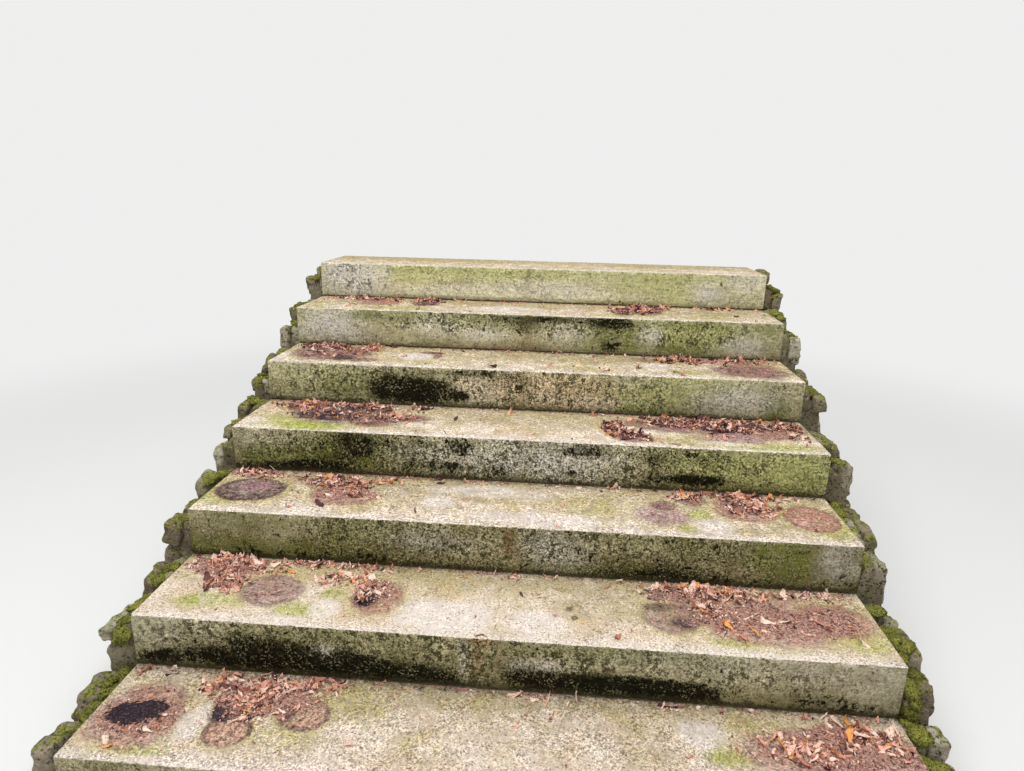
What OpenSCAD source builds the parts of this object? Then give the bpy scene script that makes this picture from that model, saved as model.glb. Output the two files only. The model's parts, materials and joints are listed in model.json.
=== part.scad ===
// Outdoor flight of stone steps, laid as paired block steps on rubble walls.
// Each step is two long blocks that meet at an upright mortar joint, bedded in
// mortar and lapped onto the step below. Rubble flank walls carry the block ends
// and stand out past them with a ragged crown of stones that climbs beside the
// treads. A rubble back wall and a solid rubble core fill the flight.
// X runs across the flight, Y climbs it and Z is up.
// The origin is on the ground under the middle of the flight.

/* [Flight] */
// Number of steps from the ground to the landing
step_count = 7; // [3:1:9]
// How far each step laps onto the one below, hidden under its riser
block_lap = 30; // [15:1:60]

/* [Block steps] */
// Length of one block, about half of the flight's width
block_length = 1000; // [600:5:1400]
// Depth of a block, from its riser to its hidden back
block_depth = 350; // [300:5:450]
// Height of a block
block_height = 150; // [110:5:200]
// Radius of the worn arris along the nosing and the outer ends
arris_r = 5; // [3:0.5:14]
// Radius of the arris beside the upright joint
joint_arris_r = 3; // [2:0.5:8]
// Radius of the arris at the foot of the riser
foot_arris_r = 3; // [1:0.5:8]

/* [Mortar] */
// Thickness of the mortar bed under each step
bed_thick = 5; // [3:1:12]
// How far the bed is raked back from the riser and the block ends
bed_rake = 4; // [1:0.5:8]
// Width of the upright joint between the two blocks of a step
joint_width = 15; // [6:1:25]
// How far the upright joint is raked back from tread and riser
joint_rake = 3; // [1:0.5:6]

/* [Flank walls] */
// How far a flank wall stands out past the block ends, at the ground
flank_out = 120; // [70:5:180]
// How far the outer face leans in between the ground and the landing
flank_batter = 30; // [0:5:50]
// Width of the ledge that carries the block ends
flank_ledge_width = 150; // [80:5:250]
// Distance from the first riser back to the end of the flank wall
flank_setback = 60; // [20:5:200]

/* [Crown stones] */
// Number of crown stones beside each tread
crown_stones = 3; // [2:1:5]
// How far the first crown stone beside a tread lies below that tread
crown_drop = 50; // [20:5:90]
// How far below that line a crown stone may lie
crown_wander = 36; // [0:1:40]
// How far a crown stone's end may shift, as a share of its length
crown_stagger = 0.28; // [0:0.02:0.3]
// Depth of the gap between two crown stones
crown_gap_depth = 16; // [6:1:25]
// Width of a crown stone's sloping shoulder
crown_shoulder = 22; // [8:1:28]
// Rise of a crown stone from its shoulders to its middle
crown_camber = 8; // [0:1:15]
// Distance from a riser back to the first crown stone of its tread
crown_lag = 14; // [0:1:40]

/* [Back wall] */
// Thickness of the rubble wall at the back of the flight
back_wall_thick = 130; // [100:5:200]

/* [Hidden] */
$fn = 48;
cut_margin = 10;
scatter_angle = 137.5;
shoulder_limit = 0.33;
stagger_phase = 7;
left_phase = 3;
right_phase = 41;
joint_offsets = [24, -18, 0, 0, -15, -30, -45];

going = block_depth - block_lap;
rise = block_height + bed_thick;
flight_width = 2 * block_length + joint_width;
half_width = flight_width / 2;
flight_run = (step_count - 1) * going + block_depth;
flight_height = step_count * rise;
core_half = half_width - flank_ledge_width;

stone_colour = [0.73, 0.71, 0.60];
mortar_colour = [0.52, 0.49, 0.42];
rubble_colour = [0.40, 0.41, 0.31];
core_colour = [0.47, 0.43, 0.38];

// Riser, hidden back, foot and tread level of step n, measured from the first riser.
function riser_y(n) = (n - 1) * going;
function back_y(n) = riser_y(n) + block_depth;
function foot_z(n) = (n - 1) * rise;
function tread_z(n) = n * rise;

// The upright joints were never quite in line, so each step has its own offset.
function joint_x(n) = joint_offsets[(n - 1) % len(joint_offsets)];

// Moves a flight measured from its first riser to the origin at its middle.
module at_origin() {
    translate([0, -flight_run / 2, 0])
        children();
}

// What is cut from a square corner to leave it rounded.
module corner_cutter(r) {
    difference() {
        square(r + cut_margin);
        circle(r);
    }
}

// A rectangle from the origin with its four corners rounded:
// low left, low right, high right and high left. A radius of 0 stays square.
module rounded_rectangle(size, radii) {
    difference() {
        square(size);
        if (radii[0] > 0)
            translate([radii[0], radii[0]])
                rotate(180)
                    corner_cutter(radii[0]);
        if (radii[1] > 0)
            translate([size[0] - radii[1], radii[1]])
                rotate(-90)
                    corner_cutter(radii[1]);
        if (radii[2] > 0)
            translate([size[0] - radii[2], size[1] - radii[2]])
                corner_cutter(radii[2]);
        if (radii[3] > 0)
            translate([radii[3], size[1] - radii[3]])
                rotate(90)
                    corner_cutter(radii[3]);
    }
}

// One block step with its outer end at X 0 and its joint end at X length.
// Its side, front and plan outlines are each rounded, so the arrises meet in
// a ball at the outer nosing corner.
module block_step(length) {
    intersection() {
        rotate([90, 0, 90])
            linear_extrude(length)
                rounded_rectangle([block_depth, block_height], [foot_arris_r, 0, 0, arris_r]);
        translate([0, block_depth, 0])
            rotate([90, 0, 0])
                linear_extrude(block_depth)
                    rounded_rectangle([length, block_height], [0, 0, joint_arris_r, arris_r]);
        linear_extrude(block_height)
            rounded_rectangle([length, block_depth], [arris_r, joint_arris_r, 0, 0]);
    }
}

module left_block(n) {
    color(stone_colour)
        at_origin()
            translate([-half_width, riser_y(n), foot_z(n) + bed_thick])
                block_step(half_width + joint_x(n) - joint_width / 2);
}

module right_block(n) {
    color(stone_colour)
        at_origin()
            translate([half_width, riser_y(n), foot_z(n) + bed_thick])
                mirror([1, 0, 0])
                    block_step(half_width - joint_x(n) - joint_width / 2);
}

// Pointing between the two blocks of a step.
module mortar_joint(n) {
    color(mortar_colour)
        at_origin()
            translate([joint_x(n) - joint_width / 2, riser_y(n) + joint_rake, foot_z(n) + bed_thick])
                cube([joint_width, block_depth - joint_rake, block_height - joint_rake]);
}

// Bed on which both blocks of a step are laid.
module mortar_bed(n) {
    color(mortar_colour)
        at_origin()
            translate([bed_rake - half_width, riser_y(n) + bed_rake, foot_z(n)])
                cube([flight_width - 2 * bed_rake, block_depth - bed_rake, bed_thick]);
}

// Stepped seat under the blocks, from behind the first one back to end_y.
function seat_outline(end_y) = concat(
    [[block_depth, 0]],
    [for (n = [2 : step_count], end = [0, 1])
        [end == 0 ? back_y(n - 1) : (n == step_count ? end_y : back_y(n)), foot_z(n)]],
    [[end_y, 0]]
);

module seat_prism(width, end_y) {
    rotate([90, 0, 90])
        linear_extrude(width)
            polygon(seat_outline(end_y));
}

// Crown stones are counted from the first riser up the flight, from 0. Each tread
// has its own bay of them, from just behind its riser to the next riser.
function crown_count() = step_count * crown_stones;
function crown_step(k) = floor(k / crown_stones) + 1;
function crown_share(k) = (k % crown_stones) / crown_stones;
function bay_start(n) =
    n == 1 ? flank_setback
    : n > step_count ? flight_run
    : riser_y(n) + crown_lag;

// Even scatter between -1 and 1, so that no two stones next to each other match.
function scatter(k) = sin(k * scatter_angle);

// Where crown stone k starts. The first one in a bay keeps the bay's own start.
function crown_start(k, phase) =
    let (
        bay = bay_start(crown_step(k)),
        span = bay_start(crown_step(k) + 1) - bay,
        share = crown_share(k),
        stagger = share == 0 ? 0 : crown_stagger * scatter(k + phase + stagger_phase)
    )
    bay + span * (share + stagger / crown_stones);

// A crown stone is low beside the nosing and near the tread's level at its back.
function crown_top(k, phase) =
    tread_z(crown_step(k))
    - crown_drop * (1 - (k % crown_stones) / (crown_stones - 1))
    - crown_camber
    + crown_wander * (scatter(k + phase) - 1) / 2;
function crown_gap(k, phase) = min(crown_top(k - 1, phase), crown_top(k, phase)) - crown_gap_depth;

// Front of crown stone k, then its shoulder, middle and back shoulder.
function crown_stone(k, phase) =
    let (
        a = crown_start(k, phase),
        b = crown_start(k + 1, phase),
        top = crown_top(k, phase),
        shoulder = min(crown_shoulder, (b - a) * shoulder_limit)
    )
    [
        [a, k == 0 ? top - crown_gap_depth : crown_gap(k, phase)],
        [a + shoulder, top],
        [(a + b) / 2, top + crown_camber],
        [b - shoulder, top]
    ];

function flank_outline(phase) = concat(
    [[flank_setback, 0]],
    [for (k = [0 : crown_count() - 1], p = crown_stone(k, phase)) p],
    [[flight_run, crown_top(crown_count() - 1, phase) - crown_gap_depth], [flight_run, 0]]
);

// Upright inner face and leaning outer face of the part that stands proud.
function batter_outline() = [
    [-cut_margin, 0],
    [flank_out, 0],
    [flank_out - flank_batter, flight_height],
    [-cut_margin, flight_height]
];

// One flank wall with the block ends at X 0 and its outer face on the +X side.
module flank_wall(phase) {
    union() {
        intersection() {
            rotate([90, 0, 90])
                linear_extrude(flank_out + cut_margin)
                    polygon(flank_outline(phase));
            translate([0, flight_run + cut_margin, 0])
                rotate([90, 0, 0])
                    linear_extrude(flight_run + cut_margin)
                        polygon(batter_outline());
        }
        translate([-flank_ledge_width, 0, 0])
            seat_prism(flank_ledge_width, flight_run);
    }
}

module left_flank_wall() {
    color(rubble_colour)
        at_origin()
            translate([-half_width, 0, 0])
                mirror([1, 0, 0])
                    flank_wall(left_phase);
}

module right_flank_wall() {
    color(rubble_colour)
        at_origin()
            translate([half_width, 0, 0])
                flank_wall(right_phase);
}

// Rubble wall between the flank walls, up to the bed of the landing step.
module back_wall() {
    color(rubble_colour)
        at_origin()
            translate([-core_half, flight_run - back_wall_thick, 0])
                cube([2 * core_half, back_wall_thick, foot_z(step_count)]);
}

// Solid rubble between the walls, stepped to seat every block.
module rubble_core() {
    color(core_colour)
        at_origin()
            translate([-core_half, 0, 0])
                seat_prism(2 * core_half, flight_run - back_wall_thick);
}

for (n = [1 : step_count]) {
    left_block(n);
    right_block(n);
    mortar_joint(n);
    mortar_bed(n);
}
left_flank_wall();
right_flank_wall();
back_wall();
rubble_core();
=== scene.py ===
import json
import math
import random

import bpy
from mathutils import Matrix, Vector, noise

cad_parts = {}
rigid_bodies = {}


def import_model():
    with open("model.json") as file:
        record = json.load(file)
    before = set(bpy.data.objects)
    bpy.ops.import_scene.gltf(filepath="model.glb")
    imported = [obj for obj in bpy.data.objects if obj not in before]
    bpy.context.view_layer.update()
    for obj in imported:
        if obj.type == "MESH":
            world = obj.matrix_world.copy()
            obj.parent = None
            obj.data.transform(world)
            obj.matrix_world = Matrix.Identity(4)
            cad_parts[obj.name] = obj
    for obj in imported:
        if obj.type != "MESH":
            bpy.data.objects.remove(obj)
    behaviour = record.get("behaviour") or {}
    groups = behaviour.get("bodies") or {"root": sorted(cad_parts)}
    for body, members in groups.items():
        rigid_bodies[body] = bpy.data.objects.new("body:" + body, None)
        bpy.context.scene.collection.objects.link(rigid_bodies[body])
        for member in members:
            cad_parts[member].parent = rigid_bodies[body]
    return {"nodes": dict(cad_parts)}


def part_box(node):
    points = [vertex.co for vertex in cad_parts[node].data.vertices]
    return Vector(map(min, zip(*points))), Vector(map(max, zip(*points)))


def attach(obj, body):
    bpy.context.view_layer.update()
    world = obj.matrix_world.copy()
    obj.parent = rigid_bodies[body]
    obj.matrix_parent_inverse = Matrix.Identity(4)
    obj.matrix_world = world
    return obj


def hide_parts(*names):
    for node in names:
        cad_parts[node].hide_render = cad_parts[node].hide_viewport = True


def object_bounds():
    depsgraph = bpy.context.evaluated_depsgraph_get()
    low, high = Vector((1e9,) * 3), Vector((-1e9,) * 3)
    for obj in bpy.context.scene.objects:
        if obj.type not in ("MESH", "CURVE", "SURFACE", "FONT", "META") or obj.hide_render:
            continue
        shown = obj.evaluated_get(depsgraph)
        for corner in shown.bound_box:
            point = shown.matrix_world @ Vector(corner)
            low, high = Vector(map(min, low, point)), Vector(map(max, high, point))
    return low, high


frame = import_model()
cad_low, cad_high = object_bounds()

nodes = frame["nodes"]
step_count = len([name for name in nodes if name.startswith("mortar_bed_")])


# The core is packed rubble and lime mortar, filled in behind the walls course by course.
# It carries the middle of every block and shows only from below. Its mortar is the first
# material, so the small functions that build materials stand here too.
class Wire:
    """A value in a node tree. Sums and products of wires add the nodes that work them out."""

    def __init__(self, socket):
        self.socket, self.tree = socket, socket.id_data

    def to(self, target):
        self.tree.links.new(self.socket, target)

    def __add__(self, other):
        return maths("ADD", self, other)

    def __sub__(self, other):
        return maths("SUBTRACT", self, other)

    def __rsub__(self, other):
        return maths("SUBTRACT", other, self)

    def __mul__(self, other):
        return maths("MULTIPLY", self, other)

    def __rtruediv__(self, other):
        return maths("DIVIDE", other, self)


class Outputs:
    """The outputs of a node as wires, by name or number."""

    def __init__(self, outputs):
        self.outputs = outputs

    def __getitem__(self, key):
        return Wire(self.outputs[key])


def put(tree, kind, inputs=None, **settings):
    """Adds a node, sets or wires its inputs and gives its outputs."""
    made = tree.nodes.new(kind if "Node" in kind else "ShaderNode" + kind)
    for name, value in settings.items():
        setattr(made, name, value)
    for socket, value in (inputs or {}).items():
        if isinstance(value, Wire):
            value.to(made.inputs[socket])
        else:
            made.inputs[socket].default_value = value
    return Outputs(made.outputs)


def maths(operation, first, second=0.0):
    """A sum, product or other working of wires and numbers."""
    tree = (first if isinstance(first, Wire) else second).tree
    return put(tree, "Math", {0: first, 1: second}, operation=operation)[0]


def paint(mask, under, over):
    """The colour under, painted over where the mask is 1."""
    under, over = [(*c, 1.0) if isinstance(c, tuple) else c for c in (under, over)]
    return put(mask.tree, "Mix", {0: mask, 6: under, 7: over}, data_type="RGBA")[2]


def layered(colour, *layers):
    """A colour painted over by one layer after another, each a mask and a shade."""
    for mask, shade in layers:
        colour = paint(mask, colour, shade)
    return colour


def fade(value, start, end):
    """Runs softly from 0 where the value is start to 1 where it is end."""
    return put(value.tree, "MapRange", {0: value, 1: start, 2: end}, interpolation_type="SMOOTHSTEP")[0]


def cloud(place, size, detail=4.0, roughness=0.6, distortion=0.0):
    """Noise with lumps of about the given size, in metres."""
    inputs = {"Vector": place, "Scale": 1 / size, "Detail": detail, "Roughness": roughness}
    return put(place.tree, "TexNoise", {**inputs, "Distortion": distortion})[0]


def new_group(name, inputs, outputs):
    """A shader node group, with its input and output sockets by name."""
    tree = bpy.data.node_groups.new(name, "ShaderNodeTree")
    for label, value in inputs.items():
        kind = "NodeSocketFloat" if isinstance(value, float) else "NodeSocketVector"
        tree.interface.new_socket(label, in_out="INPUT", socket_type=kind).default_value = value
    for label in outputs:
        tree.interface.new_socket(label, in_out="OUTPUT", socket_type="NodeSocketFloat")
    given = Outputs(tree.nodes.new("NodeGroupInput").outputs)
    return tree, given, tree.nodes.new("NodeGroupOutput").inputs


def grain_group():
    """Sandy grain and small pits of weathered stone or mortar."""
    values = {"Place": (0.0, 0.0, 0.0), "Grain Size": 0.003, "Pits": 0.4}
    tree, given, wanted = new_group("stone_grain", values, ["Tone", "Pit", "Height"])
    place, scale = given["Place"], 1.0 / given["Grain Size"]
    wide_scale, pit_scale = scale * 0.22, scale * 0.42
    fine = put(tree, "TexNoise", {"Vector": place, "Scale": scale, "Detail": 3.0, "Roughness": 0.7})[0]
    wide = put(tree, "TexNoise", {"Vector": place, "Scale": wide_scale, "Detail": 4.0})[0]
    cells = {"Vector": place, "Scale": pit_scale, "Randomness": 1.0}
    hollow = put(tree, "TexVoronoi", cells)["Distance"]
    pit = fade(hollow, 0.42, 0.12) * fade(wide + given["Pits"], 0.9, 1.0)
    tone = fine * 0.6 + wide * 0.4
    tone.to(wanted["Tone"])
    pit.to(wanted["Pit"])
    (tone - pit).to(wanted["Height"])
    return tree


def growth_group():
    """Ragged spread of algae, lichen or grime: more cover lets it close up."""
    values = {"Place": (0.0, 0.0, 0.0), "Lump": 0.03, "Cover": 0.5, "Edge": 0.05}
    tree, given, wanted = new_group("ragged_growth", values, ["Mask"])
    spread = cloud(given["Place"], given["Lump"], 7.0, 0.68, 0.35)
    level = given["Cover"] * -0.5 + 0.75
    fade(spread, level - given["Edge"], level + given["Edge"]).to(wanted["Mask"])
    return tree


stone_grain = grain_group()
ragged_growth = growth_group()


def grain_of(place, size, pits):
    """The grain of stone or mortar: its tone, its pits and its height."""
    inputs = {"Place": place, "Grain Size": size, "Pits": pits}
    return put(place.tree, "Group", inputs, node_tree=stone_grain)


def growth(place, lump, cover, edge):
    """A ragged mask with lumps of a given size in metres, a cover from 0 to 1 and a soft edge."""
    inputs = {"Place": place, "Lump": lump, "Cover": cover, "Edge": edge}
    return put(place.tree, "Group", inputs, node_tree=ragged_growth)["Mask"]


def new_material(name):
    """A material with its shader and the place on the object that patterns read."""
    material = bpy.data.materials.new(name)
    material.use_nodes = True
    tree = material.node_tree
    return material, tree.nodes["Principled BSDF"], put(tree, "TexCoord")["Object"]


def finish_surface(shader, colour, height, depth, roughness):
    """Gives a shader its colour, its relief of a given depth in metres and its roughness."""
    bump = put(colour.tree, "Bump", {"Strength": 1.0, "Distance": depth, "Height": height})[0]
    colour.to(shader.inputs["Base Color"])
    bump.to(shader.inputs["Normal"])
    shader.inputs["Roughness"].default_value = roughness
    shader.inputs["Specular IOR Level"].default_value = 0.05


mortar_algae = (0.17, 0.18, 0.055)
mortar_grit = (0.16, 0.13, 0.09)
mortar_pit = (0.07, 0.055, 0.04)


def mortar_material(name, pale, dark, green):
    """Sandy lime mortar, blotched with damp and thin algae."""
    material, shader, place = new_material(name)
    grain = grain_of(place, 0.004, 0.5)
    colour = layered(
        pale,
        (growth(place, 0.07, 0.5, 0.14), dark),
        (growth(place, 0.035, green, 0.08) * 0.7, mortar_algae),
        (fade(grain["Tone"], 0.62, 0.38), mortar_grit),
        (grain["Pit"], mortar_pit),
    )
    finish_surface(shader, colour, grain["Height"], 0.004, 0.95)
    return material


def dress(piece, material):
    """Gives a piece one material all over."""
    piece.data.materials.clear()
    piece.data.materials.append(material)


core_mortar = mortar_material("core_rubble", (0.34, 0.30, 0.24), (0.20, 0.17, 0.13), 0.1)
dress(nodes["rubble_core"], core_mortar)


# The back wall and the flank walls are random rubble: lumps of local stone laid in rough
# courses in lime mortar, with larger stones at the corners. The flank walls end in a ragged
# crown of loose-edged stones that climbs beside the treads.
stone_joint = 0.010
face_set_back = 0.013
back_set_back = 0.019
mortar_set_back = 0.030
crown_set_down = 0.021
wall_leaf = 0.100
wall_lean = 0.030
foot_set_up = 0.018
top_set_down = 0.010
stone_turn = 0.07
crown_turns = (0.16, 0.12)
course_heights = (0.075, 0.125)
stone_lengths = (0.085, 0.215)
crown_min_height = 0.050
crown_meeting = (0.38, 0.58)
crown_gap = 0.06
crown_slip = (-0.016, 0.016)
crown_drop = (0.002, 0.020)
points_per_crown_stone = 4
touching = 0.001
front_reach = 0.1
welding = 0.0001
lump_jag, lump_dimples, lump_smoothing = 0.11, 0.045, 0.35
lump_cuts = 3
block_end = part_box("step_1_right")[1].x
flank_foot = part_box("right_flank_wall")[1].x
batter = wall_lean / (cad_high.z - cad_low.z)
back_face = cad_high.y
landing_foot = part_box("back_wall")[1].z


def only(piece):
    """Selects one object alone."""
    bpy.ops.object.select_all(action="DESELECT")
    piece.select_set(True)
    bpy.context.view_layer.objects.active = piece


def edit(piece, action="DESELECT"):
    """Opens a piece in edit mode, with nothing or with all of it selected."""
    only(piece)
    bpy.ops.object.mode_set(mode="EDIT")
    bpy.ops.mesh.select_all(action=action)


def pick(piece, kind, wanted):
    """Selects, in edit mode, the vertices, edges or faces of a piece for which wanted is true."""
    modes = {"VERT": "vertices", "EDGE": "edges", "FACE": "polygons"}
    bpy.ops.mesh.select_mode(type=kind)
    bpy.ops.mesh.select_all(action="DESELECT")
    bpy.ops.object.mode_set(mode="OBJECT")
    mesh = piece.data
    for element in getattr(mesh, modes[kind]):
        element.select = wanted(mesh, element)
    bpy.ops.object.mode_set(mode="EDIT")


def done():
    """Leaves edit mode."""
    bpy.ops.object.mode_set(mode="OBJECT")


def apply_modifiers(piece):
    """Makes what a piece's modifiers do part of its mesh."""
    only(piece)
    for modifier in list(piece.modifiers):
        bpy.ops.object.modifier_apply(modifier=modifier.name)


def rough(piece, name, size, strength, detail=2, middle=0.5, group=""):
    """Roughens a piece with lumps of a given size, in metres, where its vertex group lets them."""
    lumps = bpy.data.textures.get(name) or bpy.data.textures.new(name, "CLOUDS")
    lumps.noise_scale = size
    lumps.noise_depth = detail
    modifier = piece.modifiers.new(name, "DISPLACE")
    modifier.texture = lumps
    modifier.texture_coords = "LOCAL"
    modifier.strength = strength
    modifier.mid_level = middle
    modifier.vertex_group = group


def join(pieces, name):
    """Joins pieces into one under a name."""
    bpy.ops.object.select_all(action="DESELECT")
    for piece in pieces:
        piece.select_set(True)
    bpy.context.view_layer.objects.active = pieces[0]
    bpy.ops.object.join()
    joined = bpy.context.view_layer.objects.active
    joined.name = joined.data.name = name
    return joined


def store(piece, name, values):
    """Keeps one value for each vertex, for a material or a modifier to read."""
    piece.data.attributes.new(name, "FLOAT", "POINT").data.foreach_set("value", values)


def copy_of(master):
    """A copy of a piece with a mesh of its own."""
    made = master.copy()
    made.data = master.data.copy()
    bpy.context.scene.collection.objects.link(made)
    return made


def rubble_lump(seed):
    """One lump of rubble, a metre each way before it is laid."""
    bpy.ops.mesh.primitive_cube_add(size=1)
    lump = bpy.context.object
    lump.name = f"rubble_lump_{seed}"
    edit(lump, "SELECT")
    bpy.ops.transform.vertex_random(offset=lump_jag, uniform=1.0, normal=0.0, seed=seed)
    bpy.ops.mesh.subdivide(number_cuts=lump_cuts)
    bpy.ops.transform.vertex_random(offset=lump_dimples, uniform=1.0, normal=0.0, seed=seed + 50)
    bpy.ops.mesh.vertices_smooth(factor=lump_smoothing, repeat=1)
    done()
    rounding = lump.modifiers.new("rounding", "SUBSURF")
    rounding.levels = rounding.render_levels = 1
    apply_modifiers(lump)
    return lump


lump_seeds = range(1, 8)
lumps = [rubble_lump(seed) for seed in lump_seeds]


def lay(low, high, chance, turn):
    """Lays a copy of one of the lumps between two corners, turned a little at random."""
    stone = copy_of(chance.choice(lumps))
    half_turns = [Matrix.Rotation(math.pi * chance.randint(0, 1), 4, axis) for axis in "XYZ"]
    tilts = [Matrix.Rotation(chance.uniform(-turn, turn), 4, axis) for axis in "XYZ"]
    stone.data.transform(half_turns[0] @ half_turns[1] @ half_turns[2])
    stone.data.transform(Matrix.Diagonal((*(high - low), 1)))
    stone.data.transform(Matrix.Translation((low + high) / 2) @ tilts[0] @ tilts[1] @ tilts[2])
    store(stone, "tone", [chance.random()] * len(stone.data.vertices))
    return stone


def course_levels(top, chance):
    """Levels of the rough courses, from the ground to the top."""
    levels = [0.0]
    while top - levels[-1] > course_heights[1]:
        levels.append(levels[-1] + chance.uniform(*course_heights))
    if top - levels[-1] < course_heights[0]:
        levels.pop()
    return levels + [top]


def row_of_lengths(start, end, chance):
    """Splits a stretch of a course into stones of random length."""
    cuts = [start]
    while end - cuts[-1] > stone_lengths[1]:
        cuts.append(cuts[-1] + chance.uniform(*stone_lengths))
    if len(cuts) > 1 and end - cuts[-1] < stone_lengths[0]:
        cuts.pop()
    return list(zip(cuts, cuts[1:] + [end]))


def crown_stones_of(node):
    """Front, back and top of each crown stone, read from the wall's solid."""
    outer = [v.co for v in nodes[node].data.vertices if abs(v.co.x) > block_end + wall_leaf / 3]
    line = sorted({(round(co.y, 4), round(co.z, 4)) for co in outer if co.z > cad_low.z + touching})
    starts = range(0, len(line) - points_per_crown_stone, points_per_crown_stone)
    return [(line[i][0], line[i + points_per_crown_stone][0], line[i + 2][1]) for i in starts]


def flank_stones(node, side, chance):
    """All the stones of one flank wall, crown and courses."""
    crown = crown_stones_of(node)
    levels = course_levels(crown[-1][2], chance)
    stones, floors = [], []

    def stone(y0, y1, z0, z1, inner_share=0.0, outer_share=1.0, turn=stone_turn):
        gap = stone_joint / 2
        outer = flank_foot - batter * (z0 + z1) / 2 - face_set_back
        inner = outer - wall_leaf
        xs = sorted(side * (inner + share * wall_leaf) for share in (inner_share, outer_share))
        low = Vector((xs[0], y0 + gap, max(z0 + gap, foot_set_up)))
        back = min(y1 - gap, back_face - back_set_back)
        high = Vector((xs[1], back, min(z1 - gap, cad_high.z - top_set_down)))
        stones.append(lay(low, high, chance, turn))

    for start, end, top in crown:
        floor = max(level for level in levels if level <= max(top - crown_min_height, 0))
        floors.append(floor)
        meet, slip = chance.uniform(*crown_meeting), chance.uniform(*crown_slip)
        drop = chance.uniform(*crown_drop)
        crown_top = top + stone_joint
        inner_top = crown_top - chance.uniform(0.0, crown_drop[1] / 2)
        stone(start, end, floor, inner_top, 0.0, meet - crown_gap / 2, crown_turns[0])
        outer_top, meet = crown_top - drop, meet + crown_gap / 2
        stone(start + slip, end + slip, floor, outer_top, meet, 1.0, crown_turns[1])
    for low, high in zip(levels, levels[1:]):
        run = [k for k, floor in enumerate(floors) if floor >= high - touching]
        while run:
            last = run[0]
            while last + 1 in run:
                last += 1
            for y0, y1 in row_of_lengths(crown[run[0]][0], crown[last][1], chance):
                stone(y0, y1, low, high)
            run = [k for k in run if k > last]
    return stones


def back_stones(chance):
    """All the stones of the back face between the flank walls."""
    stones = []
    levels = course_levels(landing_foot, chance)
    outer = back_face - back_set_back
    for low, high in zip(levels, levels[1:]):
        for x0, x1 in row_of_lengths(-block_end, block_end, chance):
            gap = stone_joint / 2
            corner = Vector((x0 + gap, outer - wall_leaf, max(low + gap, foot_set_up)))
            stones.append(lay(corner, Vector((x1 - gap, outer, high - gap)), chance, stone_turn / 2))
    return stones


def stretched(place, scale):
    """Places drawn out along some axes, for patterns that run one way."""
    return put(place.tree, "VectorMath", {0: place, 1: scale}, operation="MULTIPLY")[0]


def tone_of(tree):
    """The tone between 0 and 1 that a piece carries."""
    return put(tree, "Attribute", attribute_name="tone")["Fac"]


def axes_of(vector):
    """A vector taken apart, by axis."""
    return put(vector.tree, "SeparateXYZ", {0: vector})


def facing(tree):
    """The direction in which the surface faces, by axis."""
    return axes_of(put(tree, "NewGeometry")["Normal"])


rubble_shades = {
    "dark": (0.20, 0.155, 0.11),
    "middle": (0.34, 0.29, 0.205),
    "pale": (0.54, 0.49, 0.375),
    "band": (0.15, 0.115, 0.08),
    "speckle": (0.62, 0.57, 0.46),
    "algae": (0.15, 0.155, 0.055),
    "black": (0.040, 0.036, 0.024),
    "moss_deep": (0.11, 0.115, 0.025),
    "moss_tips": (0.31, 0.31, 0.065),
    "crevice": (0.045, 0.036, 0.024),
    "pit": (0.05, 0.04, 0.03),
}


def rubble_material():
    """Brown-grey local stone, each lump of its own tone, with algae, lichen and moss."""
    material, shader, place = new_material("rubble_stone")
    shades, tone, up = rubble_shades, tone_of(place.tree), facing(place.tree)["Z"]
    grain = grain_of(place, 0.005, 0.42)
    band = cloud(stretched(place, (1.0, 1.0, 2.4)), 0.05, 5.0, 0.65)
    speckle = cloud(place, 0.008, 4.0, 0.75)
    colour = layered(
        shades["dark"],
        (fade(tone, 0.15, 0.5), shades["middle"]),
        (fade(tone, 0.6, 0.95), shades["pale"]),
        (fade(band, 0.45, 0.7) * 0.6, shades["band"]),
        (fade(speckle, 0.56, 0.66) * 0.55, shades["speckle"]),
        (growth(place, 0.05, 0.40, 0.1) * 0.7, shades["algae"]),
        (growth(place, 0.022, 0.32, 0.05) * 0.8, shades["black"]),
        # Moss on upward faces, darker and lighter by a noise: painted shade between its tufts and
        # painted highlights on their tips.
        (
            growth(place, 0.03, 0.48, 0.06) * fade(up, 0.15, 0.65),
            paint(fade(speckle, 0.42, 0.60), shades["moss_deep"], shades["moss_tips"]),
        ),
        # Dark flecks where a noise runs low stand for small crevices: grime with painted shade in them.
        (fade(speckle, 0.44, 0.34) * 0.7, shades["crevice"]),
        (grain["Pit"] * 0.8, shades["pit"]),
    )
    finish_surface(shader, colour, grain["Height"] + band * 1.4, 0.006, 0.92)
    return material


rubble_stone = rubble_material()
wall_mortar = mortar_material("wall_mortar", (0.33, 0.28, 0.20), (0.15, 0.12, 0.082), 0.4)


def finish_rubble(stones, name):
    """Joins the stones of a wall into one piece and roughens their faces."""
    wall = join(stones, name)
    rough(wall, "rubble_lumps", 0.035, 0.020, 2)
    rough(wall, "rubble_grit", 0.012, 0.004, 1)
    apply_modifiers(wall)
    bpy.ops.object.shade_smooth()
    dress(wall, rubble_stone)
    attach(wall, "root")


def wall_filling(node, name):
    """The mortar mass of a wall, from a copy of its solid with the faces drawn in."""
    mass = copy_of(nodes[node])
    mass.name = mass.data.name = name
    for key in list(mass.keys()):
        del mass[key]
    mass.parent = None
    edit(mass, "SELECT")
    bpy.ops.mesh.remove_doubles(threshold=welding)
    done()
    for vertex in mass.data.vertices:
        co = vertex.co
        if abs(co.x) > block_end + wall_leaf / 3:
            co.x -= math.copysign(mortar_set_back, co.x)
        if co.y > back_face - touching:
            co.y -= mortar_set_back
        if abs(co.x) > block_end - touching and co.z > touching:
            co.z -= crown_set_down
        if co.y < cad_low.y + front_reach:
            co.y += mortar_set_back
    dress(mass, wall_mortar)
    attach(mass, "root")
    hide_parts(node)


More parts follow.
